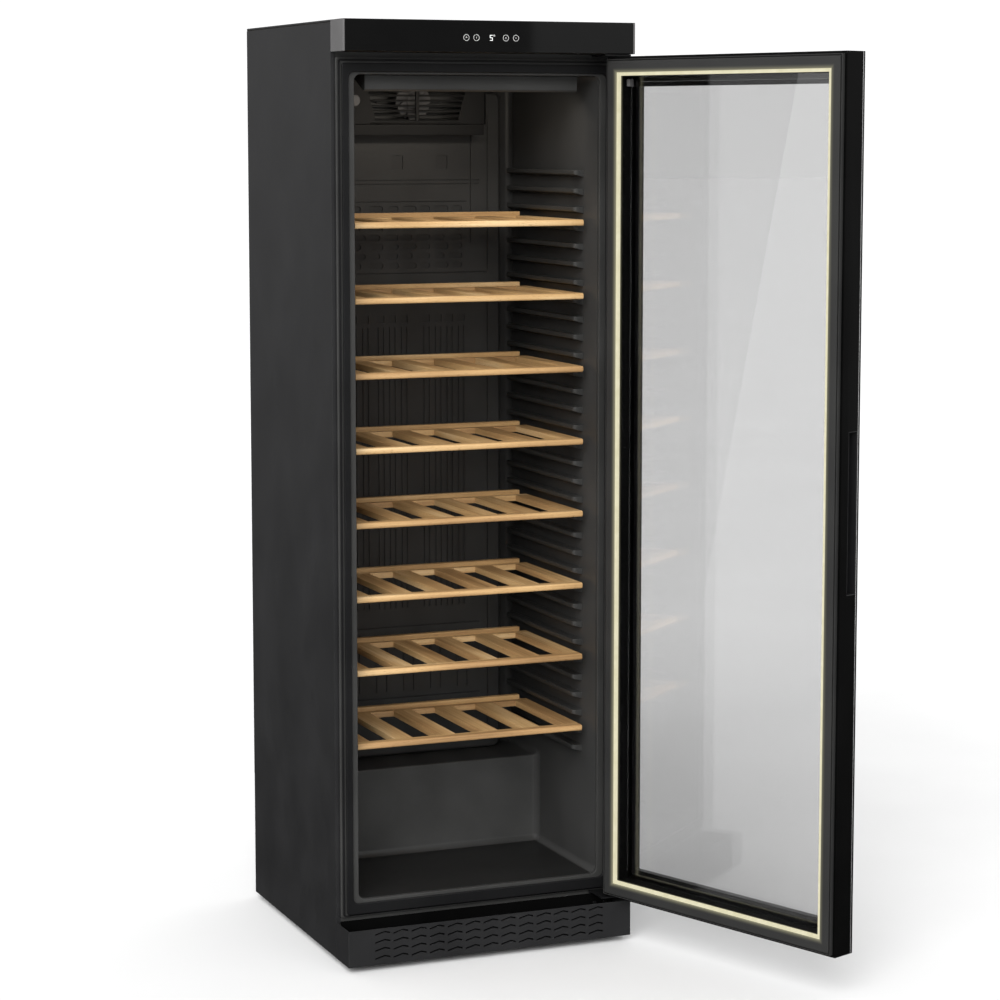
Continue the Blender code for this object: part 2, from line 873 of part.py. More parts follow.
def evaporator_cover():
    """The fan housing under the ceiling, with a louvred mouth in two halves."""
    rear = Y_DUCT - GAP
    front = rear - COVER_DEPTH
    low = Z_COVER
    top = Z_CEILING - GAP
    obj = block("evaporator_cover", (-COVER_HALF, front, low), (COVER_HALF, rear, top))
    cuts = [
        block(
            "cover_cut",
            (-COVER_HALF + COVER_WALL, front + COVER_WALL, low + COVER_WALL),
            (COVER_HALF - COVER_WALL, rear + 0.01, top - COVER_WALL),
        )
    ]
    first = low + 0.0085
    for row in range(GRILLE_ROWS):
        z = first + row * GRILLE_PITCH
        reach = GRILLE_REACH - 0.012 * (GRILLE_ROWS - 1 - row) / (GRILLE_ROWS - 1)
        for side in (-1, 1):
            x0, x1 = sorted((side * GRILLE_POST, side * reach))
            cuts.append(
                block("slot", (x0, front - 0.01, z), (x1, front + 0.01, z + GRILLE_SLOT))
            )
    keep(boolean(obj, cuts), liner_plastic())
    tray_top = low - GAP
    tray = block(
        "drip_tray",
        (-COVER_HALF + 0.004, front + 0.004, tray_top - TRAY_DROP),
        (COVER_HALF - 0.004, rear, tray_top),
    )
    wall = 0.0018
    hollow = block(
        "tray_cut",
        (-COVER_HALF + 0.004 + wall, front + 0.004 + wall, tray_top - TRAY_DROP + wall),
        (COVER_HALF - 0.004 - wall, rear - wall, tray_top + 0.01),
    )
    keep(boolean(tray, [hollow]), liner_plastic())


def fan_height():
    return 0.5 * (Z_COVER + Z_CEILING)


def fan(name, centre, radius, blades, depth):
    """An axial fan that turns about Y: a round hub and pitched blades, as one moulding."""
    hub_radius = radius * 0.34
    obj = cylinder(name, (0, 0, 0), hub_radius, depth, "Z", 20)
    pieces = []
    for k in range(blades):
        blade = block(
            "blade",
            (hub_radius * 0.8, -radius * 0.20, -0.0009),
            (radius, radius * 0.20, 0.0009),
        )
        blade.rotation_euler = (math.radians(32), 0, 0)
        settle(blade)
        blade.rotation_euler = (0, 0, math.tau * k / blades)
        settle(blade)
        pieces.append(blade)
    boolean(obj, pieces, "UNION")
    obj.rotation_euler = (-math.pi / 2, 0, 0)
    settle(obj)
    obj.location = centre
    keep(obj, black_plastic())
    return obj


def evaporator():
    """The fan, its motor and the cold plate behind the duct."""
    fan_y = Y_DUCT - 0.0375
    z = fan_height()
    fan("evaporator_fan", (0, fan_y, z), FAN_RADIUS, FAN_BLADES, 0.012)
    body = cylinder("evaporator_fan_motor", (0, fan_y + 0.020, z), 0.016, 0.024, "Y", 24)
    arms = [
        block(
            "arm",
            (-0.070, fan_y + 0.027, z - 0.004),
            (0.070, fan_y + 0.031, z + 0.004),
        )
    ]
    keep(boolean(body, arms, "UNION"), black_plastic())
    low, high = Z_CEILING - 0.400, Z_CEILING - 0.140
    face = Y_DUCT + DUCT_WALL + 0.016
    half = DUCT_HALF - 0.038
    plate = block(
        "evaporator_plate", (-half, face, low), (half, face + 0.0016, high)
    )
    points = []
    runs = 7
    for k in range(runs):
        level = low + 0.025 + k * (high - low - 0.05) / (runs - 1)
        reach = half - 0.020
        ends = (-reach, reach) if k % 2 == 0 else (reach, -reach)
        points += [(ends[0], face, level), (ends[1], face, level)]
    channel = tube("channel", points, 0.0035)
    keep(boolean(plate, [channel], "UNION"), aluminium())


def temperature_sensor():
    obj = cylinder(
        "temperature_sensor",
        (
            -COVER_HALF + 0.016,
            Y_DUCT - COVER_DEPTH - 2 * GAP - 0.0032,
            Z_CEILING - 0.045,
        ),
        0.0115,
        0.006,
        "Y",
        24,
        0.013,
    )
    keep(obj, grey_plastic())


# ---------------------------------------------------------------- shelves
def shelf(index):
    """A beech board with five bottle slots and a stop along its back edge."""
    bottom = Z_FIRST_SHELF + index * SHELF_PITCH
    top = bottom + SHELF_THICK
    front, rear = Y_SHELF_FRONT, Y_SHELF_BACK
    half = SHELF_HALF
    room = 2 * half - 2 * SHELF_EDGE - SLOT_WIDTH
    pitch = room / (SLOT_COUNT - 1)
    loops = [round_rectangle(-half, half, front, rear, 0.004, 2)]
    for k in range(SLOT_COUNT):
        x = (k - (SLOT_COUNT - 1) / 2) * pitch
        loops.append(
            rectangle(
                x - SLOT_WIDTH / 2,
                x + SLOT_WIDTH / 2,
                front + FRONT_RAIL,
                rear - REAR_RAIL,
            )
        )
    obj = outline(f"shelf_{index + 1}", loops, bottom, top, "XY")
    stop = block(
        "stop",
        (-half + STOP_INSET, rear - STOP_DEPTH, top - 0.002),
        (half - STOP_INSET, rear, top + STOP_HEIGHT),
    )
    boolean(obj, [stop], "UNION")
    keep(obj, beech())


# ---------------------------------------------------------------- door, closed, about its hinge
def door_ring(name, border_out, border_in, low, high):
    """A rectangular ring set in from the door's edges, between two depths behind its front."""
    left, right = -X_SIDE - HINGE_X, X_SIDE - HINGE_X
    outer = rectangle(
        left + border_out, right - border_out, Z_DOOR_LOW + border_out, Z_DOOR_HIGH - border_out
    )
    inner = rectangle(
        left + border_in, right - border_in, Z_DOOR_LOW + border_in, Z_DOOR_HIGH - border_in
    )
    front = -HINGE_SETBACK
    return outline(name, [outer, inner], front + low, front + high)


def door_sheet(name, border, low, high):
    left, right = -X_SIDE - HINGE_X, X_SIDE - HINGE_X
    front = -HINGE_SETBACK
    return block(
        name,
        (left + border, front + low, Z_DOOR_LOW + border),
        (right - border, front + high, Z_DOOR_HIGH - border),
    )


def hinge_levels():
    """Middles of the sleeves in the door's bottom and top edges."""
    return (Z_DOOR_LOW + BUSH_DEPTH / 2, Z_DOOR_HIGH - BUSH_DEPTH / 2)


def handle_box(grow, mouth):
    """The finger recess in the door's free edge; grow widens it and mouth runs it outwards."""
    edge = -X_SIDE - HINGE_X
    middle = -HINGE_SETBACK + HANDLE_SETBACK
    low = Z_DOOR_LOW + HANDLE_HEIGHT - HANDLE_LENGTH / 2
    return (
        (edge - mouth, middle - HANDLE_WIDTH / 2 - grow, low - grow),
        (
            edge + HANDLE_REACH + grow,
            middle + HANDLE_WIDTH / 2 + grow,
            low + HANDLE_LENGTH + grow,
        ),
    )


def door_frame():
    """The door's hollow-edged frame, with a recess for the grip and holes for the hinge sleeves."""
    obj = door_ring("door_frame", 0.0, DOOR_FRAME_BORDER, OUTER_GLASS + GAP, DOOR_DEPTH)
    low, high = handle_box(HANDLE_WALL + GAP, 0.01)
    cuts = [block("grip_cut", low, high)]
    for z, sign in zip(hinge_levels(), (-1, 1)):
        cuts.append(
            cylinder(
                "bush_hole", (0, 0, z + sign * 0.005), BUSH_RADIUS + GAP, BUSH_DEPTH + 0.0112
            )
        )
    return boolean(obj, cuts)


def handle_insert():
    """The cup that lines the grip's recess."""
    low, high = handle_box(HANDLE_WALL, 0.0)
    obj = block("door_handle_insert", low, high)
    low, high = handle_box(0.0, 0.01)
    return boolean(obj, [block("grip_hollow", low, high)])


def hinge_sleeve(name, z):
    sleeve = cylinder(name, (0, 0, z), BUSH_RADIUS, BUSH_DEPTH)
    hole = cylinder("sleeve_hole", (0, 0, z), PIN_RADIUS + GAP, BUSH_DEPTH + 0.01)
    return boolean(sleeve, [hole])


def gasket():
    """The magnetic seal: a wide soft face on a narrower foot."""
    back = DOOR_DEPTH + GAP
    face = back + GASKET_DEPTH
    outer = GASKET_INSET
    inner = GASKET_INSET + GASKET_WIDTH
    obj = door_ring("door_gasket", outer, inner, back + 0.35 * GASKET_DEPTH, face)
    foot = door_ring(
        "gasket_foot", outer + 0.003, inner - 0.003, back, back + 0.35 * GASKET_DEPTH + 0.0005
    )
    return boolean(obj, [foot], "UNION")


def door():
    """Every piece of the door, hung from an empty on the hinge axis."""
    axis = bpy.data.objects.new("door_hinge_axis", None)
    axis.location = (HINGE_X, HINGE_Y, 0)
    axis.rotation_euler = (0, 0, math.radians(DOOR_REST))
    PARTS.objects.link(axis)
    outer = door_sheet("door_glass_outer", 0.0, 0.0, OUTER_GLASS)
    border = DOOR_FRAME_BORDER + GAP
    inner = door_sheet(
        "door_glass_inner", border, INNER_GLASS_DEPTH, INNER_GLASS_DEPTH + INNER_GLASS
    )
    spacer = door_ring(
        "glass_spacer",
        SPACER_BORDER,
        SPACER_BORDER + SPACER_WIDTH,
        OUTER_GLASS + GAP,
        INNER_GLASS_DEPTH - GAP,
    )
    strip_start = GASKET_INSET + GASKET_WIDTH + GAP
    strip = door_ring(
        "door_light_strip",
        strip_start,
        strip_start + LIGHT_WIDTH,
        DOOR_DEPTH + GAP,
        DOOR_DEPTH + GAP + LIGHT_DEPTH,
    )
    right = X_SIDE - HINGE_X - DOOR_FRAME_BORDER - GAP
    face = -HINGE_SETBACK + INNER_GLASS_DEPTH + INNER_GLASS + GAP
    plug = block(
        "light_connector_cap",
        (right - 0.008, face, Z_DOOR_HIGH - DOOR_FRAME_BORDER - 0.020),
        (right, face + 0.012, Z_DOOR_HIGH - DOOR_FRAME_BORDER - 0.006),
    )
    finished = [
        (door_frame(), black_plastic()),
        (outer, clear_glass()),
        (inner, clear_glass()),
        (spacer, aluminium()),
        (gasket(), seal_rubber()),
        (strip, light_diffuser()),
        (handle_insert(), black_plastic()),
        (hinge_sleeve("hinge_bush_bottom", hinge_levels()[0]), white_plastic()),
        (hinge_sleeve("hinge_bush_top", hinge_levels()[1]), white_plastic()),
        (plug, grey_plastic()),
    ]
    for obj, material in finished:
        obj.parent = axis
        keep(obj, material)


def hinge_brackets():
    """The plates over and under the door, each with its pin and its two screw heads."""
    x0, x1 = HINGE_X - 0.045, HINGE_X + 0.0095
    front = HINGE_Y - 0.012
    rear = Y_SHELL - GAP
    plates = (
        ("hinge_bracket_bottom", Z_DOOR_LOW - HINGE_CLEARANCE - BRACKET, -1),
        ("hinge_bracket_top", Z_DOOR_HIGH + HINGE_CLEARANCE, 1),
    )
    for name, low, sign in plates:
        plate = block(name, (x0, front, low), (x1, rear, low + BRACKET))
        leaf_low, leaf_high = sorted((low + BRACKET / 2, low + BRACKET / 2 + sign * 0.042))
        leaf = block("leaf", (x0, rear - 0.0017, leaf_low), (x1, rear, leaf_high))
        pin_z = low + BRACKET / 2 - sign * 0.0085
        pin = cylinder("pin", (HINGE_X, HINGE_Y, pin_z), PIN_RADIUS, 0.017)
        screw_z = low + BRACKET / 2 + sign * 0.026
        screws = [
            cylinder("screw", (x, rear - 0.0026, screw_z), 0.0042, 0.0036, "Y", 12)
            for x in (x0 + 0.012, x0 + 0.034)
        ]
        keep(boolean(plate, [leaf, pin] + screws, "UNION"), enamel())


# ---------------------------------------------------------------- feet and machine space
def levelling_feet():
    for side, name in ((-1, "levelling_foot_left"), (1, "levelling_foot_right")):
        x = side * (X_SIDE - FOOT_INSET)
        y = Y_SHELL + FOOT_SETBACK - NOSE + 0.020
        profile = [
            (0.0, 0.046),
            (0.0050, 0.046),
            (0.0050, FLOOR_GAP - 0.0035),
            (FOOT_RADIUS - 0.003, FLOOR_GAP - 0.0035),
            (FOOT_RADIUS, FLOOR_GAP - 0.0065),
            (FOOT_RADIUS, 0.0),
            (0.0, 0.0),
        ]
        keep(turned(name, profile, (x, y, 0), 20), dark_rubber())


def roller_fork(side):
    """A bent bracket over one rear roller, with the roller's axle through its cheeks."""
    x = side * (X_SIDE - ROLLER_INSET)
    y = roller_y()
    inner = ROLLER_WIDTH / 2 + 0.0010
    wall = 0.0040
    height = ROLLER_RADIUS * 2 + 0.006
    fork = block(
        "fork",
        (x - inner - wall, y - 0.014, Z_BASE + 0.0005),
        (x + inner + wall, y + 0.014, height),
    )
    reach = ROLLER_RADIUS + 0.001
    room = block(
        "fork_cut",
        (x - inner, y - reach, Z_BASE - 0.01),
        (x + inner, y + reach, height - 0.002),
    )
    boolean(fork, [room])
    axle = cylinder("axle", (x, y, ROLLER_RADIUS), 0.0032, 2 * (inner + wall), "X", 16)
    return boolean(fork, [axle], "UNION")


def rollers():
    for side, name in ((-1, "rear_roller_left"), (1, "rear_roller_right")):
        wheel = cylinder(name, (0, 0, 0), ROLLER_RADIUS, ROLLER_WIDTH, "X", 32)
        bore = cylinder("bore", (0, 0, 0), 0.0035, ROLLER_WIDTH + 0.01, "X", 16)
        boolean(wheel, [bore])
        wheel.location = (side * (X_SIDE - ROLLER_INSET), roller_y(), ROLLER_RADIUS)
        keep(wheel, dark_rubber())


def compressor_place():
    x = X_SIDE - COMPRESSOR_SIDE_GAP
    y = Y_BACK - COVER_SPACE - COMPRESSOR_RIM - COMPRESSOR_RADIUS
    return x, y


def compressor_group():
    """The hermetic compressor on four rubber mounts, with its relay, dryer and pan."""
    x, y = compressor_place()
    floor = Z_BASE + 0.0015 + GAP
    base = floor + 0.012
    r, h = COMPRESSOR_RADIUS, COMPRESSOR_HEIGHT
    profile = [(0.0, base + h)]
    for k in range(1, 6):
        angle = math.radians(90 * k / 5)
        profile.append((r * math.sin(angle), base + h - 0.040 * (1 - math.cos(angle))))
    profile += [
        (r, base + 0.070),
        (r + COMPRESSOR_RIM, base + 0.068),
        (r + COMPRESSOR_RIM, base + 0.062),
        (r, base + 0.060),
        (r, base + 0.022),
        (r * 0.8, base + 0.0035),
        (0.0, base + 0.0035),
    ]
    shell = turned("compressor", profile, (x, y, 0), 28)
    foot_x, foot_y = r + 0.012, r - 0.013
    feet = block(
        "feet",
        (x - foot_x, y - foot_y, base + 0.0005),
        (x + foot_x, y + foot_y, base + 0.0040),
    )
    keep(boolean(shell, [feet], "UNION"), enamel())
    mat = block(
        "compressor_mounts",
        (x - foot_x, y - foot_y, floor),
        (x + foot_x, y + foot_y, floor + 0.002),
    )
    buffer_x, buffer_y = foot_x - 0.012, foot_y - 0.012
    buffers = [
        cylinder(
            "buffer",
            (x + sx * buffer_x, y + sy * buffer_y, floor + 0.0065),
            0.009,
            0.011,
            "Z",
            16,
        )
        for sx in (-1, 1)
        for sy in (-1, 1)
    ]
    keep(boolean(mat, buffers, "UNION"), dark_rubber())
    relay = block(
        "start_relay",
        (x - r - 0.006 - RELAY_WIDTH, y - 0.026, base + 0.028),
        (x - r - 0.006, y + 0.026, base + 0.088),
    )
    bevelled(relay, 0.003, 2)
    keep(relay, black_plastic())
    top = base + h + 0.006
    pan = block(
        "evaporation_tray", (x - 0.075, y - 0.062, top), (x + 0.075, y + 0.062, top + 0.030)
    )
    hollow = block(
        "pan_cut",
        (x - 0.073, y - 0.060, top + 0.002),
        (x + 0.073, y + 0.060, top + 0.05),
    )
    keep(boolean(pan, [hollow]), black_plastic())
    return x, y, base


def condenser_group():
    """The condenser coil with its fan, ahead of the compressor."""
    left = -X_SIDE + COIL_SIDE_GAP
    place, y = compressor_place()
    right = place - COMPRESSOR_RADIUS - 0.006 - RELAY_WIDTH - COIL_RELAY_GAP
    x = (left + right) / 2
    low = Z_BASE + 0.024
    points = []
    layers, runs = 3, 6
    for layer in range(layers):
        depth = y - 0.040 + layer * 0.018
        order = range(runs) if layer % 2 == 0 else reversed(range(runs))
        for step, k in enumerate(order):
            z = low + 0.018 + k * 0.028
            ends = (left, right)
            if (step + layer * runs) % 2:
                ends = ends[::-1]
            points += [(ends[0], depth, z), (ends[1], depth, z)]
    keep(tube("condenser_coil", points, 0.0028, 1), enamel())
    fan_y = y + 0.030
    z = low + 0.082
    half = COND_FAN_RADIUS + 0.008
    frame = outline(
        "condenser_fan_frame",
        [
            rectangle(x - half, x + half, z - half, z + half),
            [
                (
                    x + (COND_FAN_RADIUS + 0.003) * math.cos(math.tau * k / 32),
                    z + (COND_FAN_RADIUS + 0.003) * math.sin(math.tau * k / 32),
                )
                for k in range(32)
            ],
        ],
        fan_y - 0.013,
        fan_y + 0.013,
    )
    reach = half - 0.002
    near, far = fan_y + 0.0100, fan_y + 0.013
    spokes = [
        block("spoke", (x - reach, near, z - 0.004), (x + reach, far, z + 0.004)),
        block("spoke", (x - 0.004, near, z - reach), (x + 0.004, far, z + reach)),
        cylinder("fan_motor", (x, fan_y + 0.0105, z), 0.018, 0.005, "Y", 20),
    ]
    keep(boolean(frame, spokes, "UNION"), black_plastic())
    fan("condenser_fan", (x, fan_y - 0.003, z), COND_FAN_RADIUS, FAN_BLADES, 0.014)


def pipework(x, y, base):
    """The copper line from the compressor across to the condenser, with its dryer."""
    level = base + 0.110
    r = COMPRESSOR_RADIUS
    rear = Y_MACHINE + 0.012
    points = [
        (x - r * 0.6, y - r * 0.8 - 0.0032, base + 0.045),
        (x - r * 0.6, rear + 0.004, base + 0.055),
        (x - r * 0.6 - 0.010, rear, level),
        (x - r - 0.060, rear, level),
        (x - r - 0.082, rear, level),
        (x - r - 0.082, rear, level - 0.020),
    ]
    pipe = tube("refrigerant_tube", points, 0.0030, 1)
    profile = [
        (0.0, 0.040),
        (0.003, 0.040),
        (0.004, 0.034),
        (0.010, 0.026),
        (0.010, -0.026),
        (0.004, -0.034),
        (0.003, -0.040),
        (0.0, -0.040),
    ]
    dryer = turned("dryer", profile, (x - r - 0.082, rear, level - 0.030), 16)
    keep(boolean(pipe, [dryer], "UNION"), copper())


def power_inlet():
    """The appliance socket in the back, beside the compressor cover."""
    z = Z_BASE + 0.018
    obj = block(
        "power_inlet",
        (-0.235, Y_BACK - 0.0005, z - 0.004),
        (-0.185, Y_BACK + 0.0045, z + 0.026),
    )
    hollow = block(
        "inlet_cut",
        (-0.225, Y_BACK + 0.0010, z + 0.001),
        (-0.195, Y_BACK + 0.010, z + 0.021),
    )
    keep(boolean(obj, [hollow]), black_plastic())


def rear_spacers():
    """Bars that keep the back clear of a wall."""
    half = X_SIDE - 0.008
    bars = (("rear_spacer_bottom", Z_BASE), ("rear_spacer_top", Z_TOP - 0.022))
    for name, low in bars:
        bar = block(
            name,
            (-half, Y_BACK + GAP, low),
            (half, Y_BACK + SPACER_REACH, low + SPACER_HEIGHT),
        )
        gap = block(
            "spacer_cut",
            (-half + 0.040, Y_BACK + 0.0035, low - 0.01),
            (half - 0.040, Y_BACK + 0.02, low + 0.03),
        )
        keep(boolean(bar, [gap]), black_plastic())


# ---------------------------------------------------------------- build
def main():
    global PARTS
    for obj in list(bpy.data.objects):
        bpy.data.objects.remove(obj)
    PARTS = bpy.data.collections.new("wine_cooler")
    bpy.context.scene.collection.children.link(PARTS)
    side_panels()
    top_panel()
    rear_panel()
    machine_cover()
    base_pan()
    insulation_foam()
    inner_liner()
    front_frame()
    kick_plate()
    fascia()
    controls()
    ceiling_lamp()
    air_duct_panel()
    evaporator_cover()
    evaporator()
    temperature_sensor()
    for index in range(SHELF_COUNT):
        shelf(index)
    door()
    hinge_brackets()
    levelling_feet()
    rollers()
    place = compressor_group()
    condenser_group()
    pipework(*place)
    power_inlet()
    rear_spacers()
    for obj in PARTS.objects:
        if obj.type == "MESH":
            smooth(obj)


main()
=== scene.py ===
import json
from math import cos, pi, radians, sin, tau

import bpy
from mathutils import Matrix, Vector

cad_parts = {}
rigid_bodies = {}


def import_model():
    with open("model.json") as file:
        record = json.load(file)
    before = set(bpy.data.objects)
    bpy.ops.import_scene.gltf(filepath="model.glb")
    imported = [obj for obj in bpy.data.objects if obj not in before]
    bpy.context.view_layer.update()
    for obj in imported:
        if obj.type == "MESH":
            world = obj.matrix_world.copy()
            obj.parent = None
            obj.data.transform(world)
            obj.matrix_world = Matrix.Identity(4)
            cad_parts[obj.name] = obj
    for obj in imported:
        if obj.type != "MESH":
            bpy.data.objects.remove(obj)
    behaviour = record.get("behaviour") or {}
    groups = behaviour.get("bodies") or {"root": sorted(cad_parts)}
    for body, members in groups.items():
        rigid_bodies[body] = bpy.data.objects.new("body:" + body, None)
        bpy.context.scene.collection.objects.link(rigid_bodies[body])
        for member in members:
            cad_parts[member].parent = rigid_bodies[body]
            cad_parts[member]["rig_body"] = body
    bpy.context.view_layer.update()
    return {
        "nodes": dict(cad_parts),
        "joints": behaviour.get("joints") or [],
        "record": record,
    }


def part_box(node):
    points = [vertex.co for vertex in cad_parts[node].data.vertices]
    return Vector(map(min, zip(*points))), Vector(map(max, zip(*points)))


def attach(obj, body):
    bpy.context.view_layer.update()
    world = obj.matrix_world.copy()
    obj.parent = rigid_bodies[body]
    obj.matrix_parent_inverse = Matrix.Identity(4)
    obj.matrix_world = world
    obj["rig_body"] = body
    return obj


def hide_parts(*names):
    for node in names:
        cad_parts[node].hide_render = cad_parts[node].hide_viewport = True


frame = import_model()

nodes = frame["nodes"]
slotOf = {part["node"]: part["material_slot"] for part in frame["record"]["subparts"]}
print("frame: %d nodes" % len(nodes))


# colours and nodes
def linear(code):
    values = [int(code[i : i + 2], 16) / 255 for i in (1, 3, 5)]
    values = [v / 12.92 if v <= 0.04045 else ((v + 0.055) / 1.055) ** 2.4 for v in values]
    return values + [1.0]


def addNode(tree, kind, settings=None, links=None):
    node = tree.nodes.new(kind)
    for key, value in (settings or {}).items():
        if isinstance(key, int) or key in node.inputs:
            node.inputs[key].default_value = value
        else:
            setattr(node, key, value)
    for socket, source in (links or {}).items():
        tree.links.new(source, node.inputs[socket])
    return node


def newFinish(name):
    material = bpy.data.materials.new(name)
    material.use_nodes = True
    material.node_tree.nodes.clear()
    return material, material.node_tree


def rampOf(tree, source, stops):
    ramp = addNode(tree, "ShaderNodeValToRGB", links={"Fac": source})
    while len(ramp.color_ramp.elements) < len(stops):
        ramp.color_ramp.elements.new(0.5)
    for element, (place, code) in zip(ramp.color_ramp.elements, stops):
        element.position = place
        element.color = linear(code)
    return ramp.outputs["Color"]


# a moulded, painted or plated surface: a fine grain over slow, cloudy variation
def grainedFinish(name, dark, light, rough, grain, depth, extra=None, shadeAttribute=None):
    material, tree = newFinish(name)
    place = addNode(tree, "ShaderNodeTexCoord")
    fine = addNode(tree, "ShaderNodeTexNoise",
                   {"Scale": 1 / grain, "Detail": 3.0, "Roughness": 0.6},
                   {"Vector": place.outputs["Object"]})
    slow = addNode(tree, "ShaderNodeTexNoise",
                   {"Scale": 7.0, "Detail": 4.0, "Roughness": 0.55},
                   {"Vector": place.outputs["Object"]})
    both = addNode(tree, "ShaderNodeMath", {"operation": "MULTIPLY_ADD", 1: 0.45},
                   {0: fine.outputs["Fac"], 2: slow.outputs["Fac"]})
    colour = rampOf(tree, both.outputs["Value"], [(0.50, dark), (0.95, light)])
    if shadeAttribute:  # an attribute of painted light: 0 is painted shade in grooves and on the cavity floor, 0.5 leaves plain faces, more is a painted highlight
        layer = addNode(tree, "ShaderNodeAttribute", {"attribute_name": shadeAttribute})
        share = rampOf(tree, layer.outputs["Fac"], [(0.0, "#5c5c5c"), (0.5, "#9a9a9a"),
                                                    (1.0, "#f4f4f4")])
        blend = addNode(tree, "ShaderNodeMix",
                        {"data_type": "RGBA", "blend_type": "MULTIPLY", 0: 1.0},
                        {6: colour, 7: share})
        colour = blend.outputs[2]
    gloss = addNode(tree, "ShaderNodeMapRange",
                    {"From Min": 0.35, "From Max": 1.05, "To Min": rough[0], "To Max": rough[1]},
                    {"Value": both.outputs["Value"]})
    bump = addNode(tree, "ShaderNodeBump", {"Strength": 0.35, "Distance": depth},
                   {"Height": fine.outputs["Fac"]})
    shader = addNode(tree, "ShaderNodeBsdfPrincipled", extra,
                     {"Base Color": colour, "Roughness": gloss.outputs["Result"],
                      "Normal": bump.outputs["Normal"]})
    addNode(tree, "ShaderNodeOutputMaterial", links={"Surface": shader.outputs["BSDF"]})
    return material


finishes = {
    # satin black-grey powder coat on steel sheet: soft sheen, a hint of orange peel
    "casing_paint": grainedFinish("satinPowderCoat", "#1a1a1b", "#222223", (0.36, 0.46),
                                  0.0022, 0.00012, {"IOR": 1.5}),
    # zinc-plated steel: grey with a faint bluish cloudiness
    "zinc_steel": grainedFinish("zincPlatedSteel", "#9a9c9e", "#acaeb0", (0.38, 0.48),
                                0.0040, 0.00008, {"Metallic": 1.0}),
    # rigid polyurethane foam: pale straw, pitted by closed cells
    "insulation": grainedFinish("polyurethaneFoam", "#c9b07a", "#e2cf9f", (0.85, 0.95),
                                0.0030, 0.0006, {"IOR": 1.45}),
    # vacuum-formed polystyrene liner: satin black with a leather-like micro texture
    "liner_plastic": grainedFinish("satinBlackLiner", "#2a2a29", "#353534", (0.42, 0.52),
                                   0.0016, 0.00016, {"IOR": 1.53}),
    # injection-moulded ABS, fine spark-eroded texture
    "black_plastic": grainedFinish("blackAbs", "#131314", "#1b1b1c", (0.40, 0.50),
                                   0.0012, 0.00010, {"IOR": 1.53}),
    # painted grey end mouldings, semi-matt
    "grey_plastic": grainedFinish("greyAbs", "#4c4b4b", "#5e5d5d", (0.38, 0.48),
                                  0.0014, 0.00008, {"IOR": 1.5}),
    # back-printed float glass: near black under a hard clear gloss
    "black_glass": grainedFinish("blackPrintedGlass", "#030303", "#050505", (0.02, 0.04),
                                 0.0300, 0.000002, {"IOR": 1.5, "Specular IOR Level": 0.32}),
    # magnetic door seal in PVC: matt, slightly waxy
    "seal_rubber": grainedFinish("darkPvcSeal", "#1c1c1c", "#252524", (0.55, 0.68),
                                 0.0014, 0.00012, {"IOR": 1.5}),
    # black anodised aluminium spacer bar, faintly uneven along its length
    "spacer_aluminium": grainedFinish("blackAnodisedSpacer", "#101011", "#18181a",
                                      (0.4, 0.5), 0.0030, 0.00003, {"Metallic": 0.6}),
    # solder-masked circuit board
    "circuit_board": grainedFinish("greenSolderMask", "#123d25", "#1e5a38", (0.3, 0.45),
                                   0.0020, 0.00006, {"IOR": 1.52}),
    # moulded white acetal, semi-matt
    "white_plastic": grainedFinish("whiteAcetal", "#d4d3ce", "#e6e5e0", (0.40, 0.5),
                                   0.0016, 0.00006, {"IOR": 1.48}),
    # stoved black enamel on the compressor and its wire condenser
    "black_enamel": grainedFinish("stovedBlackEnamel", "#0c0c0d", "#151516", (0.22, 0.34),
                                  0.0028, 0.00014, {"IOR": 1.5}),
    # drawn copper tube, lightly tarnished
    "copper_pipe": grainedFinish("tarnishedCopper", "#8e5536", "#c07d55", (0.25, 0.45),
                                 0.0060, 0.00006, {"Metallic": 1.0}),
    # vulcanised rubber: dull, with a faint bloom
    "dark_rubber": grainedFinish("vulcanisedRubber", "#171716", "#232321", (0.72, 0.85),
                                 0.0012, 0.00014, {"IOR": 1.5}),
}


# soda-lime glass with a grey body tint, lighter towards the bottom: painted light that offsets the
# shadowed floor seen through the lower door
def tintedGlass():
    material, tree = newFinish("greyTintedGlass")
    place = addNode(tree, "ShaderNodeTexCoord")
    split = addNode(tree, "ShaderNodeSeparateXYZ", links={"Vector": place.outputs["Object"]})
    # painted light: the tint lightens with falling height
    height = addNode(tree, "ShaderNodeMapRange", {"From Min": 0.1, "From Max": 1.75},
                     {"Value": split.outputs["Z"]})
    cloud = addNode(tree, "ShaderNodeTexNoise", {"Scale": 2.5, "Detail": 2.0},
                    {"Vector": place.outputs["Object"]})
    blend = addNode(tree, "ShaderNodeMath", {"operation": "MULTIPLY_ADD", 1: 0.05},
                    {0: cloud.outputs["Fac"], 2: height.outputs["Result"]})
    colour = rampOf(tree, blend.outputs["Value"],
                    [(0.0, "#ebebeb"), (0.5, "#e2e2e2"), (1.0, "#dedede")])
    smear = addNode(tree, "ShaderNodeMapRange", {"To Min": 0.0, "To Max": 0.012},
                    {"Value": cloud.outputs["Fac"]})
    shader = addNode(tree, "ShaderNodeBsdfPrincipled",
                     {"IOR": 1.5, "Transmission Weight": 1.0},
                     {"Base Color": colour, "Roughness": smear.outputs["Result"]})
    addNode(tree, "ShaderNodeOutputMaterial", links={"Surface": shader.outputs["BSDF"]})
    return material


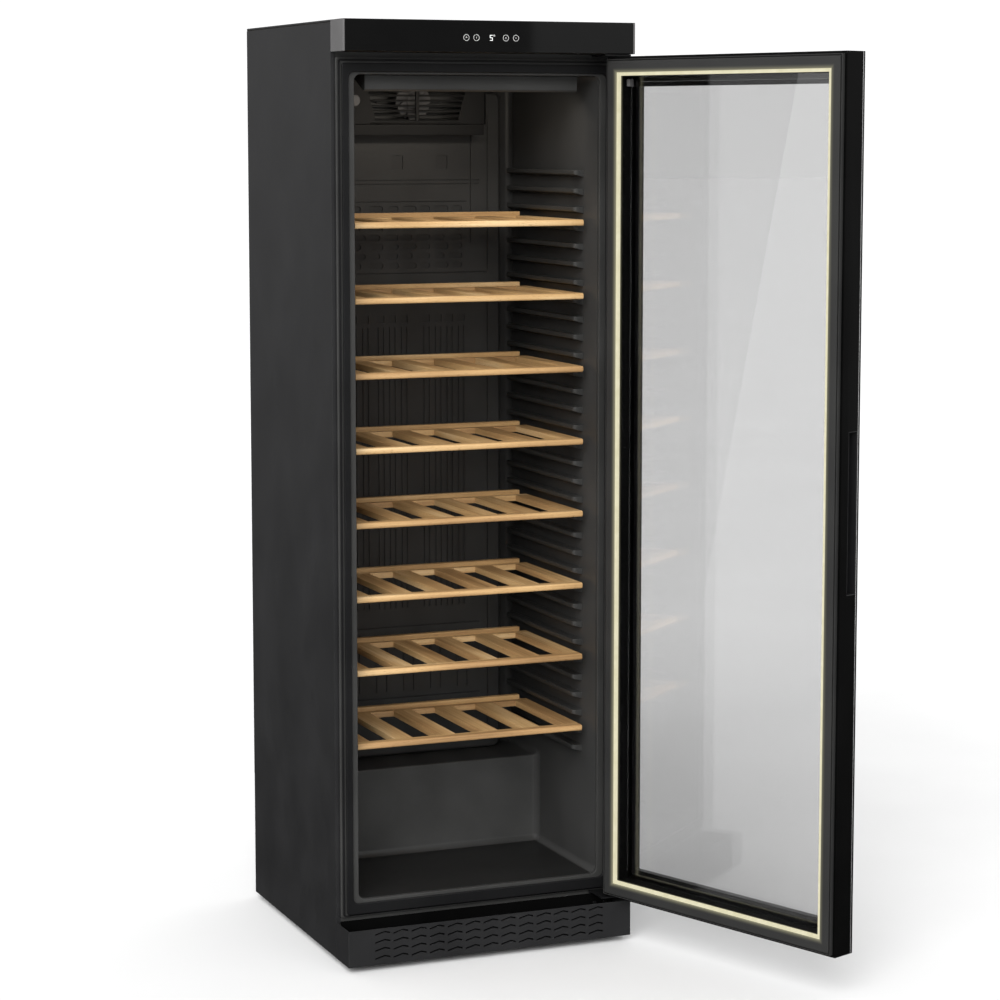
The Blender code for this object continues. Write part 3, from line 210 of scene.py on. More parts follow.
# opal acrylic over a warm white strip of lights: brighter over each light
def warmDiffuser():
    material, tree = newFinish("opalAcrylicLit")
    place = addNode(tree, "ShaderNodeTexCoord")
    spots = addNode(tree, "ShaderNodeTexNoise", {"Scale": 60.0, "Detail": 2.0},
                    {"Vector": place.outputs["Object"]})
    glow = rampOf(tree, spots.outputs["Fac"], [(0.3, "#f0e9c2"), (0.7, "#f8f2d0")])
    base = rampOf(tree, spots.outputs["Fac"], [(0.3, "#4a483c"), (0.7, "#565347")])
    shader = addNode(tree, "ShaderNodeBsdfPrincipled",
                     {"IOR": 1.49, "Roughness": 0.5, "Emission Strength": 0.72},
                     {"Base Color": base, "Emission Color": glow})
    addNode(tree, "ShaderNodeOutputMaterial", links={"Surface": shader.outputs["BSDF"]})
    return material


# oiled European beech: straight grain, 1 to 3 mm growth lines and short dark ray flecks
def oiledBeech():
    material, tree = newFinish("oiledBeech")
    along = addNode(tree, "ShaderNodeUVMap", {"uv_map": "grain"})
    lines = addNode(tree, "ShaderNodeMapping", {"Scale": (3.0, 170.0, 1.0)},
                    {"Vector": along.outputs["UV"]})
    rings = addNode(tree, "ShaderNodeTexNoise",
                    {"Scale": 1.0, "Detail": 5.0, "Roughness": 0.62, "Distortion": 0.5},
                    {"Vector": lines.outputs["Vector"]})
    broad = addNode(tree, "ShaderNodeMapping", {"Scale": (2.0, 22.0, 1.0)},
                    {"Vector": along.outputs["UV"]})
    board = addNode(tree, "ShaderNodeTexNoise", {"Scale": 1.0, "Detail": 2.0},
                    {"Vector": broad.outputs["Vector"]})
    mixed = addNode(tree, "ShaderNodeMath", {"operation": "MULTIPLY_ADD", 1: 0.55},
                    {0: rings.outputs["Fac"], 2: board.outputs["Fac"]})
    wood = rampOf(tree, mixed.outputs["Value"],
                  [(0.48, "#7c5f3c"), (0.68, "#a17e54"), (0.84, "#bb9868"), (1.0, "#d2b487")])
    fleckPlace = addNode(tree, "ShaderNodeMapping", {"Scale": (120.0, 900.0, 1.0)},
                         {"Vector": along.outputs["UV"]})
    fleck = addNode(tree, "ShaderNodeTexNoise", {"Scale": 1.0, "Detail": 1.0},
                    {"Vector": fleckPlace.outputs["Vector"]})
    mark = addNode(tree, "ShaderNodeMapRange",
                   {"From Min": 0.60, "From Max": 0.72, "To Min": 0.0, "To Max": 0.35},
                   {"Value": fleck.outputs["Fac"]})
    colour = addNode(tree, "ShaderNodeMix",
                     {"data_type": "RGBA", 7: linear("#6f4a28")},
                     {0: mark.outputs["Result"], 6: wood})
    gloss = addNode(tree, "ShaderNodeMapRange",
                    {"From Min": 0.4, "From Max": 1.0, "To Min": 0.58, "To Max": 0.44},
                    {"Value": mixed.outputs["Value"]})
    bump = addNode(tree, "ShaderNodeBump", {"Strength": 0.3, "Distance": 0.0003},
                   {"Height": rings.outputs["Fac"]})
    shader = addNode(tree, "ShaderNodeBsdfPrincipled", {"IOR": 1.47},
                     {"Base Color": colour.outputs[2], "Roughness": gloss.outputs["Result"],
                      "Normal": bump.outputs["Normal"]})
    addNode(tree, "ShaderNodeOutputMaterial", links={"Surface": shader.outputs["BSDF"]})
    return material


finishes["door_glass"] = tintedGlass()
finishes["light_diffuser"] = warmDiffuser()
finishes["shelf_beech"] = oiledBeech()

# white ceramic ink for the control symbols: matt, faintly uneven, lit from behind
symbolInk = grainedFinish("whiteCeramicInk", "#d8d8d6", "#f0f0ee", (0.4, 0.5), 0.002, 0.00002,
                          {"Emission Color": linear("#e8ecef"), "Emission Strength": 0.35})
# black plastic darker and flatter than the liner's: on the stepped frame it is painted shade on the
# face and rib beside the band's lighter black
frameBlack = grainedFinish("darkerFrameBlack", "#0d0d0e", "#131314", (0.45, 0.55), 0.0014, 0.00010,
                           {"IOR": 1.5, "Specular IOR Level": 0.3})
# the liner's plastic with painted light: painted shade in grooves and on the floor, a little painted
# highlight on the walls and the step's front
linerWithPaintedShade = grainedFinish("linerBlackWithPaintedShade", "#4c4c4b", "#5e5e5d", (0.40, 0.5), 0.0016,
                             0.00014, {"IOR": 1.53}, "painted_shade")
# open-cell dust filter and splash tray behind the plinth: flat black, no sheen
filterBlack = grainedFinish("blackFilterFoam", "#040404", "#080808", (0.9, 1.0), 0.0020, 0.0004,
                            {"Specular IOR Level": 0.05})
# deep black moulding of the door, with a tight satin sheen
doorBlack = grainedFinish("deepBlackAbs", "#040404", "#080808", (0.38, 0.46), 0.0012, 0.00008,
                          {"IOR": 1.3, "Specular IOR Level": 0.15})
# black ceramic frit fired on the pane's edge: dense, slightly glossy
edgeFrit = grainedFinish("blackCeramicFrit", "#050505", "#090909", (0.25, 0.35), 0.002, 0.00003,
                         {"IOR": 1.5})

for name, obj in nodes.items():
    obj.data.materials.clear()
    obj.data.materials.append(finishes[slotOf[name]])
print("finishes: %d slots" % len(finishes))


# modelling helpers
def pick(*objs):
    bpy.ops.object.select_all(action="DESELECT")
    for obj in objs:
        obj.select_set(True)
    bpy.context.view_layer.objects.active = objs[0]


def addBlock(name, low, high):
    bpy.ops.object.select_all(action="DESELECT")
    middle = [(a + b) / 2 for a, b in zip(low, high)]
    size = [b - a for a, b in zip(low, high)]
    bpy.ops.mesh.primitive_cube_add(size=1, location=middle, scale=size)
    bpy.ops.object.transform_apply(location=True, rotation=True, scale=True)
    obj = bpy.context.object
    obj.name = name
    return obj


def addRound(name, middle, radius, length, axis="Z", sides=32):
    turn = {"X": (0, pi / 2, 0), "Y": (pi / 2, 0, 0), "Z": (0, 0, 0)}[axis]
    bpy.ops.object.select_all(action="DESELECT")
    bpy.ops.mesh.primitive_cylinder_add(vertices=sides, radius=radius, depth=length,
                                        location=middle, rotation=turn)
    bpy.ops.object.transform_apply(location=True, rotation=True, scale=True)
    obj = bpy.context.object
    obj.name = name
    return obj


# opens edit mode with the faces or edges chosen that pass a test on their place and direction
def editWith(obj, kind, test):
    pick(obj)
    bpy.ops.object.mode_set(mode="EDIT")
    bpy.ops.mesh.select_mode(type=kind)
    bpy.ops.mesh.select_all(action="DESELECT")
    bpy.ops.object.mode_set(mode="OBJECT")
    if kind == "FACE":
        for face in obj.data.polygons:
            face.select = bool(test(face.center, face.normal))
    else:
        for edge in obj.data.edges:
            a, b = (obj.data.vertices[i].co for i in edge.vertices)
            edge.select = bool(test((a + b) / 2, (b - a).normalized()))
    bpy.ops.object.mode_set(mode="EDIT")


def runsBack(place, way):
    return abs(way.y) > 0.99


def bevelEdges(obj, width, segments, test):
    editWith(obj, "EDGE", test)
    bpy.ops.mesh.bevel(offset=width, segments=segments, profile=0.5)
    bpy.ops.object.mode_set(mode="OBJECT")


def applyModifier(obj, kind, **settings):
    pick(obj)
    modifier = obj.modifiers.new(kind.title(), kind)
    for key, value in settings.items():
        setattr(modifier, key, value)
    bpy.ops.object.modifier_apply(modifier=modifier.name)


def softEdges(obj, width, segments=2, angle=35):
    applyModifier(obj, "BEVEL", width=width, segments=segments, limit_method="ANGLE",
                  angle_limit=radians(angle))
    evenShade(obj)


# smooth shading that leaves the large flat faces flat
def evenShade(obj, angle=40):
    pick(obj)
    bpy.ops.object.shade_smooth_by_angle(angle=radians(angle))
    applyModifier(obj, "WEIGHTED_NORMAL", mode="FACE_AREA", weight=100, keep_sharp=True)


def cutAway(obj, cutter, crossing=False):
    applyModifier(obj, "BOOLEAN", object=cutter, operation="DIFFERENCE", solver="EXACT",
                  use_self=crossing)
    bpy.data.objects.remove(cutter)


def repeated(obj, count, step):
    applyModifier(obj, "ARRAY", count=count, use_relative_offset=False,
                  use_constant_offset=True, constant_offset_displace=step)


def twinOf(obj, name, shift=(0, 0, 0)):
    pick(obj)
    bpy.ops.object.duplicate(linked=False)
    twin = bpy.context.object
    twin.name = name
    twin.data.transform(Matrix.Translation(shift))
    return twin


def joined(name, objs):
    pick(*objs)
    if len(objs) > 1:
        bpy.ops.object.join()
    objs[0].name = name
    return objs[0]


def finishPiece(obj, body, slot, *replaced, finish=None):
    obj.data.materials.clear()
    obj.data.materials.append(finish or finishes[slot])
    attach(obj, body)
    if replaced:
        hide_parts(*replaced)
    return obj


# writes each face's share of painted shade and highlight, between 0 and 1, for the finish that reads
# it
def paintShadeShare(obj, shareOf):
    layer = obj.data.color_attributes.new(name="painted_shade", type="FLOAT_COLOR", domain="CORNER")
    for polygon in obj.data.polygons:
        share = shareOf(polygon.center, polygon.normal)
        for loop in polygon.loop_indices:
            layer.data[loop].color = (share, share, share, 1.0)


def weldedCopy(node):
    obj = bpy.data.objects.new(node + "_fine", nodes[node].data.copy())
    bpy.context.scene.collection.objects.link(obj)
    pick(obj)
    bpy.ops.object.mode_set(mode="EDIT")
    bpy.ops.mesh.select_all(action="SELECT")
    bpy.ops.mesh.remove_doubles(threshold=0.00001)
    bpy.ops.object.mode_set(mode="OBJECT")
    return obj


# a CAD part in one skin, with its edges softened as the mould leaves them
def refine(node, width, finish=None):
    obj = weldedCopy(node)
    bpy.ops.object.mode_set(mode="EDIT")
    bpy.ops.mesh.select_all(action="SELECT")
    bpy.ops.mesh.dissolve_limited(angle_limit=radians(1))
    bpy.ops.object.mode_set(mode="OBJECT")
    softEdges(obj, width)
    return finishPiece(obj, nodes[node]["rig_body"], slotOf[node], node, finish=finish)


# a flat ring in the front plane: its outer and inner corners are rounded
def ringBlock(name, outer, inner, near, far, cornerOut, cornerIn):
    ring = addBlock(name, (outer[0], near, outer[2]), (outer[1], far, outer[3]))
    hole = addBlock("hole", (inner[0], near - 0.02, inner[2]), (inner[1], far + 0.02, inner[3]))
    if cornerOut:
        bevelEdges(ring, cornerOut, 5, runsBack)
    if cornerIn:
        bevelEdges(hole, cornerIn, 5, runsBack)
    cutAway(ring, hole)
    return ring


# shelves: front rail with a rounded nose, six slats, a rear rail and a stop
shelfSpec = {"slotHalf": 0.0258, "slotPitch": 0.0904, "railFront": 0.0225, "railRear": 0.030,
             "stopInset": 0.015, "stopDepth": 0.013, "thick": 0.012, "nose": 0.0042,
             "edge": 0.0012, "joint": 0.00025, "grainShift": (1.37, 0.913), "shelfShift": (0.77, 0.41)}


def woodBoard(name, low, high, axis, seed, nose=None):
    board = addBlock(name, low, high)
    if nose:
        bevelEdges(board, nose, 4,
                   lambda place, way: abs(way.x) > 0.99 and place.y < low[1] + 0.001)
    softEdges(board, shelfSpec["edge"], 2)
    layer = board.data.uv_layers.get("grain") or board.data.uv_layers.new(name="grain")
    for polygon in board.data.polygons:
        for loop in polygon.loop_indices:
            place = board.data.vertices[board.data.loops[loop].vertex_index].co
            along, across = (place.x, place.y) if axis == "X" else (place.y, place.x)
            layer.data[loop].uv = (along + seed * shelfSpec["grainShift"][0],
                                   across + 0.6 * place.z + seed * shelfSpec["grainShift"][1])
    for extra in [layer.name for layer in board.data.uv_layers if layer.name != "grain"]:
        board.data.uv_layers.remove(board.data.uv_layers[extra])
    return board


def shelfBoards():
    low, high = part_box("shelf_1")
    s = shelfSpec
    top = low.z + s["thick"]
    slatNear, slatFar = low.y + s["railFront"], high.y - s["railRear"]
    gap = s["joint"]
    boards = [woodBoard("rail", (low.x, low.y, low.z), (high.x, slatNear - gap, top), "X", 1,
                        s["nose"])]
    boards.append(woodBoard("back", (low.x, slatFar + gap, low.z),
                            (high.x, high.y - s["stopDepth"] - gap, top), "X", 2))
    boards.append(woodBoard("stop", (low.x + s["stopInset"], high.y - s["stopDepth"], low.z),
                            (high.x - s["stopInset"], high.y, high.z), "X", 3))
    edges = [low.x]
    for k in range(-2, 3):
        edges += [k * s["slotPitch"] - s["slotHalf"], k * s["slotPitch"] + s["slotHalf"]]
    edges.append(high.x)
    for k in range(6):
        boards.append(woodBoard("slat", (edges[2 * k], slatNear, low.z),
                                (edges[2 * k + 1], slatFar, top), "Y", 4 + k))
    return joined("shelf_boards_1", boards)


firstShelf = shelfBoards()
shelves = [firstShelf]
for k in range(2, 9):
    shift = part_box("shelf_%d" % k)[0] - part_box("shelf_1")[0]
    shelf = twinOf(firstShelf, "shelf_boards_%d" % k, shift)
    for corner in shelf.data.uv_layers["grain"].data:
        corner.uv = (corner.uv[0] + k * shelfSpec["shelfShift"][0],
                     corner.uv[1] + k * shelfSpec["shelfShift"][1])
    shelves.append(shelf)
for k, shelf in enumerate(shelves, 1):
    finishPiece(shelf, "shelf_%d" % k, "shelf_beech", "shelf_%d" % k)
print("shelves: 8")


# liner: one thin moulded shell with soft corners, a step over the compressor and 66 runners
linerSpec = {"half": 0.2525, "front": -0.2225, "back": 0.2195, "floor": 0.1255, "ceiling": 1.712,
             "stepFront": 0.0675, "stepTop": 0.3075, "corner": 0.014, "wall": 0.0014,
             "reach": 0.020, "runnerFront": -0.1565, "runnerBack": 0.1985, "runnerHigh": 0.014,
             "runnerPitch": 0.0361, "runners": 33, "runnerSlope": 0.4, "nose": 0.004,
             "flange": (0.2960, 0.0838, 1.7875), "lowPart": 0.42,
             # painted light: painted shade on the cavity floor, a painted highlight on the step's
             # front and a little on the walls
             "shares": {"floor": 0.0, "step": 0.64, "wall": 0.54}}


def linerShadeShare(place, normal):
    s = linerSpec
    if normal.z > 0.9 and place.z < 0.2:
        return s["shares"]["floor"]
    if normal.y < -0.9 and place.z < s["lowPart"]:
        return s["shares"]["step"]
    return s["shares"]["wall"]


def linerShell():
    s = linerSpec
    shell = addBlock("liner_shell", (-s["half"], s["front"], s["floor"]),
                     (s["half"], s["back"], s["ceiling"]))
    step = addBlock("step", (-0.4, s["stepFront"], 0.0), (0.4, 0.4, s["stepTop"]))
    cutAway(shell, step)

    def onNose(place, way):
        return (abs(place.y - s["stepFront"]) < 0.001 and abs(place.z - s["stepTop"]) < 0.001)

    def onWalls(place, way):
        byNose = (abs(place.y - s["stepFront"]) < 0.005
                  and abs(place.z - s["stepTop"]) < 0.005 and abs(way.x) > 0.9)
        atFront = place.y <= s["front"] + 0.001
        gaps = (abs(place.x) - s["half"], place.z - s["ceiling"], place.z - s["floor"],
                place.y - s["back"])
        return not atFront and not byNose and min(abs(gap) for gap in gaps) < 0.001

    bevelEdges(shell, s["nose"], 3, onNose)
    bevelEdges(shell, s["corner"], 5, onWalls)
    editWith(shell, "FACE",
             lambda place, normal: normal.y < -0.9 and place.y < s["front"] + 0.001)
    bpy.ops.mesh.delete(type="FACE")
    bpy.ops.mesh.select_all(action="SELECT")
    bpy.ops.mesh.flip_normals()
    bpy.ops.object.mode_set(mode="OBJECT")
    applyModifier(shell, "SOLIDIFY", thickness=s["wall"], offset=-1.0)
    evenShade(shell)
    # painted shade on the cavity floor, painted highlight on the step's front
    paintShadeShare(shell, linerShadeShare)
    finishPiece(shell, "cabinet", "liner_plastic", "inner_liner", finish=linerWithPaintedShade)
    reach, low, high = s["flange"]
    flange = ringBlock("liner_flange", (-reach, reach, low, high),
                       (-s["half"], s["half"], s["floor"], s["ceiling"]), s["front"] - 0.0007,
                       s["front"] + 0.0008, 0.002, 0.0135)
    finishPiece(flange, "cabinet", "liner_plastic", "inner_liner")


def linerRunners(side):
    s = linerSpec
    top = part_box("shelf_1")[0].z - 0.0003 - s["runnerPitch"]
    wall, tip = side * (s["half"] + 0.0006), side * (s["half"] - s["reach"])
    runner = addBlock("liner_runners_left" if side < 0 else "liner_runners_right",
                      (min(wall, tip), s["runnerFront"], top - s["runnerHigh"]),
                      (max(wall, tip), s["runnerBack"], top))

    def isTip(place):
        return abs(place.x - tip) < 0.0005

    editWith(runner, "EDGE",
             lambda place, way: runsBack(place, way) and isTip(place) and place.z < top - 0.001)
    bpy.ops.transform.translate(value=(0, 0, s["runnerSlope"] * s["runnerHigh"]))
    bpy.ops.object.mode_set(mode="OBJECT")
    bevelEdges(runner, 0.009, 4, lambda place, way: abs(way.z) > 0.9 and isTip(place))
    softEdges(runner, 0.0014, 2)
    repeated(runner, s["runners"], (0, 0, s["runnerPitch"]))
    return finishPiece(runner, "cabinet", "liner_plastic", "inner_liner")


linerShell()
for side in (-1, 1):
    linerRunners(side)
print("liner: shell and runners")


# front frame: an outer band with a rib, then the face the seal closes on, and a lit inner lip
frameSpec = {"outer": 0.2893, "face": 0.2783, "inner": 0.2530, "low": 0.0925, "high": 1.744,
             "faceLow": 0.098, "faceHigh": 1.733, "near": -0.2365, "far": -0.2248,
             "recess": 0.006, "lip": 0.0125, "ribGap": 0.0035, "ribProud": 0.0028, "lap": 0.0004}


def frontFrame():
    s = frameSpec
    holeLow, holeHigh = linerSpec["floor"] - 0.0005, linerSpec["ceiling"] + 0.0005
    band = ringBlock("frame_band", (-s["outer"], s["outer"], s["low"], s["high"]),
                     (-s["inner"], s["inner"], holeLow, holeHigh),
                     s["near"] + s["recess"], s["far"], 0.004, 0.0135)
    softEdges(band, 0.0012, 3)
    face = ringBlock("frame_face", (-s["face"], s["face"], s["faceLow"], s["faceHigh"]),
                     (-s["inner"] - s["lip"], s["inner"] + s["lip"], holeLow - 0.006,
                      holeHigh + 0.004),
                     s["near"], s["near"] + s["recess"] + s["lap"], 0.006, 0.012)
    softEdges(face, 0.0016, 3)
    finishPiece(band, "cabinet", "liner_plastic", "front_frame")
    gap = s["ribGap"]
    rib = ringBlock("frame_rib", (-s["outer"] + gap, s["outer"] - gap, s["low"] + 0.0025,
                                  s["high"] - gap),
                    (-s["face"] - gap, s["face"] + gap, s["faceLow"] - 0.0012,
                     s["faceHigh"] + gap),
                    s["near"] + s["recess"] - s["ribProud"], s["near"] + s["recess"] + s["lap"],
                    0.005, 0.004)
    softEdges(rib, 0.001, 2)
    # painted light: the band keeps the liner's lighter black as painted highlight, the face and rib
    # take the darker one as painted shade
    finishPiece(joined("frame_face", [face, rib]), "cabinet", "liner_plastic", "front_frame",
                finish=frameBlack)


frontFrame()


# air duct panel: a deep tray with soft edges and rows of pressed capsules, squares and ribs
ductSpec = {"half": 0.208, "low": 0.3085, "high": 1.687, "near": 0.166, "far": 0.2192,
            "corner": 0.018, "edge": 0.007, "depth": 0.0024,
            "rows": (1.4475, 1.4282, 1.4087, 1.3889, 1.3702, 1.3511, 1.3316),
            "longShort": ((0.0310, (-0.105, -0.0344, 0.036, 0.107)),
                          (0.0225, (-0.0696, 0.001, 0.0716))),
            "shortLong": ((0.0225, (-0.1110, -0.029, 0.040, 0.1110)),
                          (0.0310, (-0.067, 0.006, 0.076))),
            "capsule": (0.0063, 0.0061), "mouth": (1.666, 0.040),
            "squares": (-0.1187, -0.0925, -0.0586, -0.0338, -0.0078, 0.0416, 0.0673, 0.0927,
                        0.1187),
            "square": (0.0085, 1.2139, 1.2300, 0.002), "bar": (0.0018, 0.62, 1.2056, 0.0017),
            "clips": (-0.1285, -0.0200, 0.0768), "clip": (0.0125, 1.5284, 1.5565, 0.003),
            "ribs": (-0.12, -0.06, 0.0, 0.06, 0.12), "rib": (0.0013, 0.445, 0.568, 0.0012),
            # grooves, each as its middle, half its width, its bottom and its top
            "grooves": ((0, 0.16, 1.5046, 1.5070), (0, 0.16, 1.4968, 1.4992),
                        (0, 0.13, 1.4608, 1.4630), (0, 0.178, 1.3148, 1.3172),
                        (0, 0.178, 1.2915, 1.2939), (0.1404, 0.0012, 1.375, 1.60),
                        (-0.1404, 0.0012, 1.375, 1.60), (0.1778, 0.0012, 0.36, 1.29),
                        (-0.1778, 0.0012, 0.36, 1.29), (0.1777, 0.0012, 1.32, 1.64),
                        (-0.1777, 0.0012, 1.32, 1.64), (0, 0.16, 0.58, 0.5824),
                        (0, 0.16, 0.43, 0.4324)),
            # painted shade: the grooves darkest, the pressed floors darker than the face
            "shares": {"groove": 0.0, "painted_shade": 0.40, "face": 0.5}}


def pressing(x, half, low, high, radius):
    s = ductSpec
    block = addBlock("pressing", (x - half, s["near"] - 0.004, low),
                     (x + half, s["near"] + s["depth"], high))
    bevelEdges(block, radius, 4, runsBack)
    return block


def ductShadeShare(place, normal):
    s = ductSpec
    deep = place.y - s["near"]
    if deep >= 0.004 or place.z >= s["mouth"][0] - 0.006:
        return s["shares"]["face"]
    if abs(normal.y) < 0.9 and deep < 0.0012:
        return s["shares"]["groove"]
    return s["shares"]["painted_shade"] if deep > 0.0010 else s["shares"]["face"]


def ductPanel():
    s = ductSpec
    panel = addBlock("duct_panel", (-s["half"], s["near"], s["low"]),
                     (s["half"], s["far"], s["high"]))
    bevelEdges(panel, s["corner"], 6, runsBack)
    bevelEdges(panel, s["edge"], 4, lambda place, way: abs(way.y) < 0.5
               and abs(place.y - s["near"]) < 0.0001)
    level, radius = s["mouth"]
    cutAway(panel, addRound("mouth", (0, s["near"], level), radius, 0.2, "Y", 40))
    cutters = []
    for index, z in enumerate(s["rows"]):
        kinds = s["shortLong"] if index % 2 == 0 else s["longShort"]
        for length, places in kinds:
            for x in places:
                half, radius = s["capsule"]
                cutters.append(pressing(x, length / 2, z - half, z + half, radius))
    for x in s["squares"]:
        cutters.append(pressing(x, *s["square"]))
        for shift in (-0.0058, 0.0058):
            cutters.append(pressing(x + shift, *s["bar"]))
    for x in s["clips"]:
        cutters.append(pressing(x, *s["clip"]))
    for groove in s["grooves"]:
        cutters.append(pressing(*groove, 0.0011))
    for x in s["ribs"]:
        for shift in (-0.011, 0.011):
            cutters.append(pressing(x + shift, *s["rib"]))
    cutAway(panel, joined("pressings", cutters), True)
    softEdges(panel, 0.0009, 1, 50)
    # painted shade in the grooves and on the pressed floors
    paintShadeShare(panel, ductShadeShare)
    finishPiece(panel, "cabinet", "liner_plastic", "air_duct_panel", finish=linerWithPaintedShade)


ductPanel()
print("duct panel")


# both fans: a round hub with softened edges and seven swept, twisted blades; shares are of the radius
# or the depth
fanSpec = {"blades": 7, "clearance": 0.0006, "hub": (0.36, 0.86), "root": 0.32, "span": 0.66,
           "rootWidth": 0.42, "flare": 0.34, "sweep": 0.35, "pitch": 0.82, "untwist": 0.35,
           "bow": 0.10, "sheet": 0.0011}


def fanWheel(node, finish):
    s = fanSpec
    low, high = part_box(node)
    middle = (low + high) / 2
    radius = (high.z - low.z) / 2 - s["clearance"]
    depth = high.y - low.y
    hub = addRound(node + "_wheel", middle, radius * s["hub"][0], depth * s["hub"][1], "Y", 32)
    softEdges(hub, 0.0012, 3)
    parts = [hub]
    for k in range(s["blades"]):
        bpy.ops.object.select_all(action="DESELECT")
        bpy.ops.mesh.primitive_grid_add(x_subdivisions=8, y_subdivisions=6, size=1)
        blade = bpy.context.object
        for vertex in blade.data.vertices:
            along, across = vertex.co.x + 0.5, vertex.co.y
            reach = radius * (s["root"] + s["span"] * along)
            width = radius * (s["rootWidth"] + s["flare"] * along)
            sweep = tau * k / s["blades"] + s["sweep"] * along ** 1.5
            angle = sweep + across * width / max(reach, 0.001)
            pitch = (s["pitch"] - s["untwist"] * along) * across * depth
            bow = s["bow"] * depth * (1 - (2 * across) ** 2)
            vertex.co = (middle.x + reach * cos(angle), middle.y + pitch - bow,
                         middle.z + reach * sin(angle))
        applyModifier(blade, "SOLIDIFY", thickness=s["sheet"], offset=0.0)
        softEdges(blade, 0.0003, 1, 60)
        parts.append(blade)
    wheel = joined(node + "_wheel", parts)
    return finishPiece(wheel, node, slotOf[node], node, finish=finish)


fanWheel("evaporator_fan", finishes["grey_plastic"])
fanWheel("condenser_fan", finishes["black_plastic"])
print("fans")


# door: panes, frit, spacer, frame, seal and light strip, modelled closed and swung on the hinge
hinge = Vector(frame["joints"][0]["pos_m"])
openAngle = -radians(frame["joints"][0]["range_deg"][0])
doorSpec = {"half": 0.2975, "low": 0.0932, "high": 1.7482, "front": -0.2965,
            "frit": (0.0006, 0.0475), "spacer": (0.048, 0.057), "seal": (0.005, 0.0302),
            "strip": (0.0304, 0.0367), "depth": 0.050, "glow": (0.0026, 0.0125),
            "paintedSpill": 0.30, "pane": 0.005, "innerPane": (0.020, 0.024, 0.0373),
            "surround": 0.037, "moulding": 0.0053, "gripMiddle": 0.019, "gripHalf": 0.0128,
            "gripDepth": 0.0198, "bore": (0.0083, 0.0300), "boreInset": (0.0090, 0.006),
            "back": 0.0503, "sealFace": 0.0588, "lipFace": 0.0580, "stripFace": 0.0563}


def maths(tree, operation, first, second):
    values = {index: item for index, item in enumerate((first, second))
              if isinstance(item, (int, float))}
    links = {index: item for index, item in enumerate((first, second))
             if not isinstance(item, (int, float))}
    return addNode(tree, "ShaderNodeMath", {"operation": operation, **values}, links).outputs[0]


# how near a point is to the lit strip, 1 at its edge and 0 past its reach, in the open door's place:
# the mask of the glow painted beside the strip
def nearStrip(tree):
    s = doorSpec
    turn = Matrix.Rotation(openAngle, 3, "Z")
    place = addNode(tree, "ShaderNodeTexCoord")
    height = addNode(tree, "ShaderNodeSeparateXYZ", links={"Vector": place.outputs["Object"]})
    offset = addNode(tree, "ShaderNodeVectorMath", {"operation": "SUBTRACT", 1: hinge},
                     {0: place.outputs["Object"]})
    across, inward = [
        addNode(tree, "ShaderNodeVectorMath",
                {"operation": "DOT_PRODUCT", 1: turn @ Vector(axis)},
                {0: offset.outputs["Vector"]}).outputs["Value"]
        for axis in ((1, 0, 0), (0, 1, 0))]
    fromMiddle = maths(tree, "ABSOLUTE", maths(tree, "ADD", across, hinge.x), 0.0)
    beside = maths(tree, "SUBTRACT", s["half"], fromMiddle)
    above = maths(tree, "SUBTRACT", height.outputs["Z"], s["low"])
    under = maths(tree, "SUBTRACT", s["high"], height.outputs["Z"])
    margin = maths(tree, "MINIMUM", maths(tree, "MINIMUM", above, under), beside)
    aside = maths(tree, "SUBTRACT", margin, (s["strip"][0] + s["strip"][1]) / 2)
    behind = maths(tree, "SUBTRACT", inward, s["front"] + s["stripFace"] - 0.0003 - hinge.y)
    gap = addNode(tree, "ShaderNodeCombineXYZ", links={"X": aside, "Y": behind})
    reach = addNode(tree, "ShaderNodeVectorMath", {"operation": "LENGTH"},
                    {0: gap.outputs["Vector"]})
    fall = addNode(tree, "ShaderNodeMapRange",
                   {"From Min": s["glow"][1], "From Max": s["glow"][0]},
                   {"Value": reach.outputs["Value"]})
    return maths(tree, "POWER", fall.outputs["Result"], 2.0)


# painted light: a glow painted as emission into the faces beside the strip, standing in for the light
# it spills on them
def paintStripGlow(material):
    tree = material.node_tree
    shader = next(node for node in tree.nodes if node.type == "BSDF_PRINCIPLED")
    share = maths(tree, "MULTIPLY", nearStrip(tree), doorSpec["paintedSpill"])
    shader.inputs["Emission Color"].default_value = linear("#f2ecc0")
    tree.links.new(share, shader.inputs["Emission Strength"])


def onDoor(obj, slot, *replaced, finish=None):
    swing = Matrix.Rotation(openAngle, 4, "Z")
    obj.data.transform(Matrix.Translation(hinge) @ swing @ Matrix.Translation(-hinge))
    return finishPiece(obj, "door", slot, *replaced, finish=finish)


def doorRing(name, margins, near, far, cornerOut=0.0, cornerIn=0.0):
    s = doorSpec
    outer, inner = margins
    return ringBlock(name, (-s["half"] + outer, s["half"] - outer, s["low"] + outer,
                            s["high"] - outer),
                     (-s["half"] + inner, s["half"] - inner, s["low"] + inner, s["high"] - inner),
                     s["front"] + near, s["front"] + far, cornerOut, cornerIn)


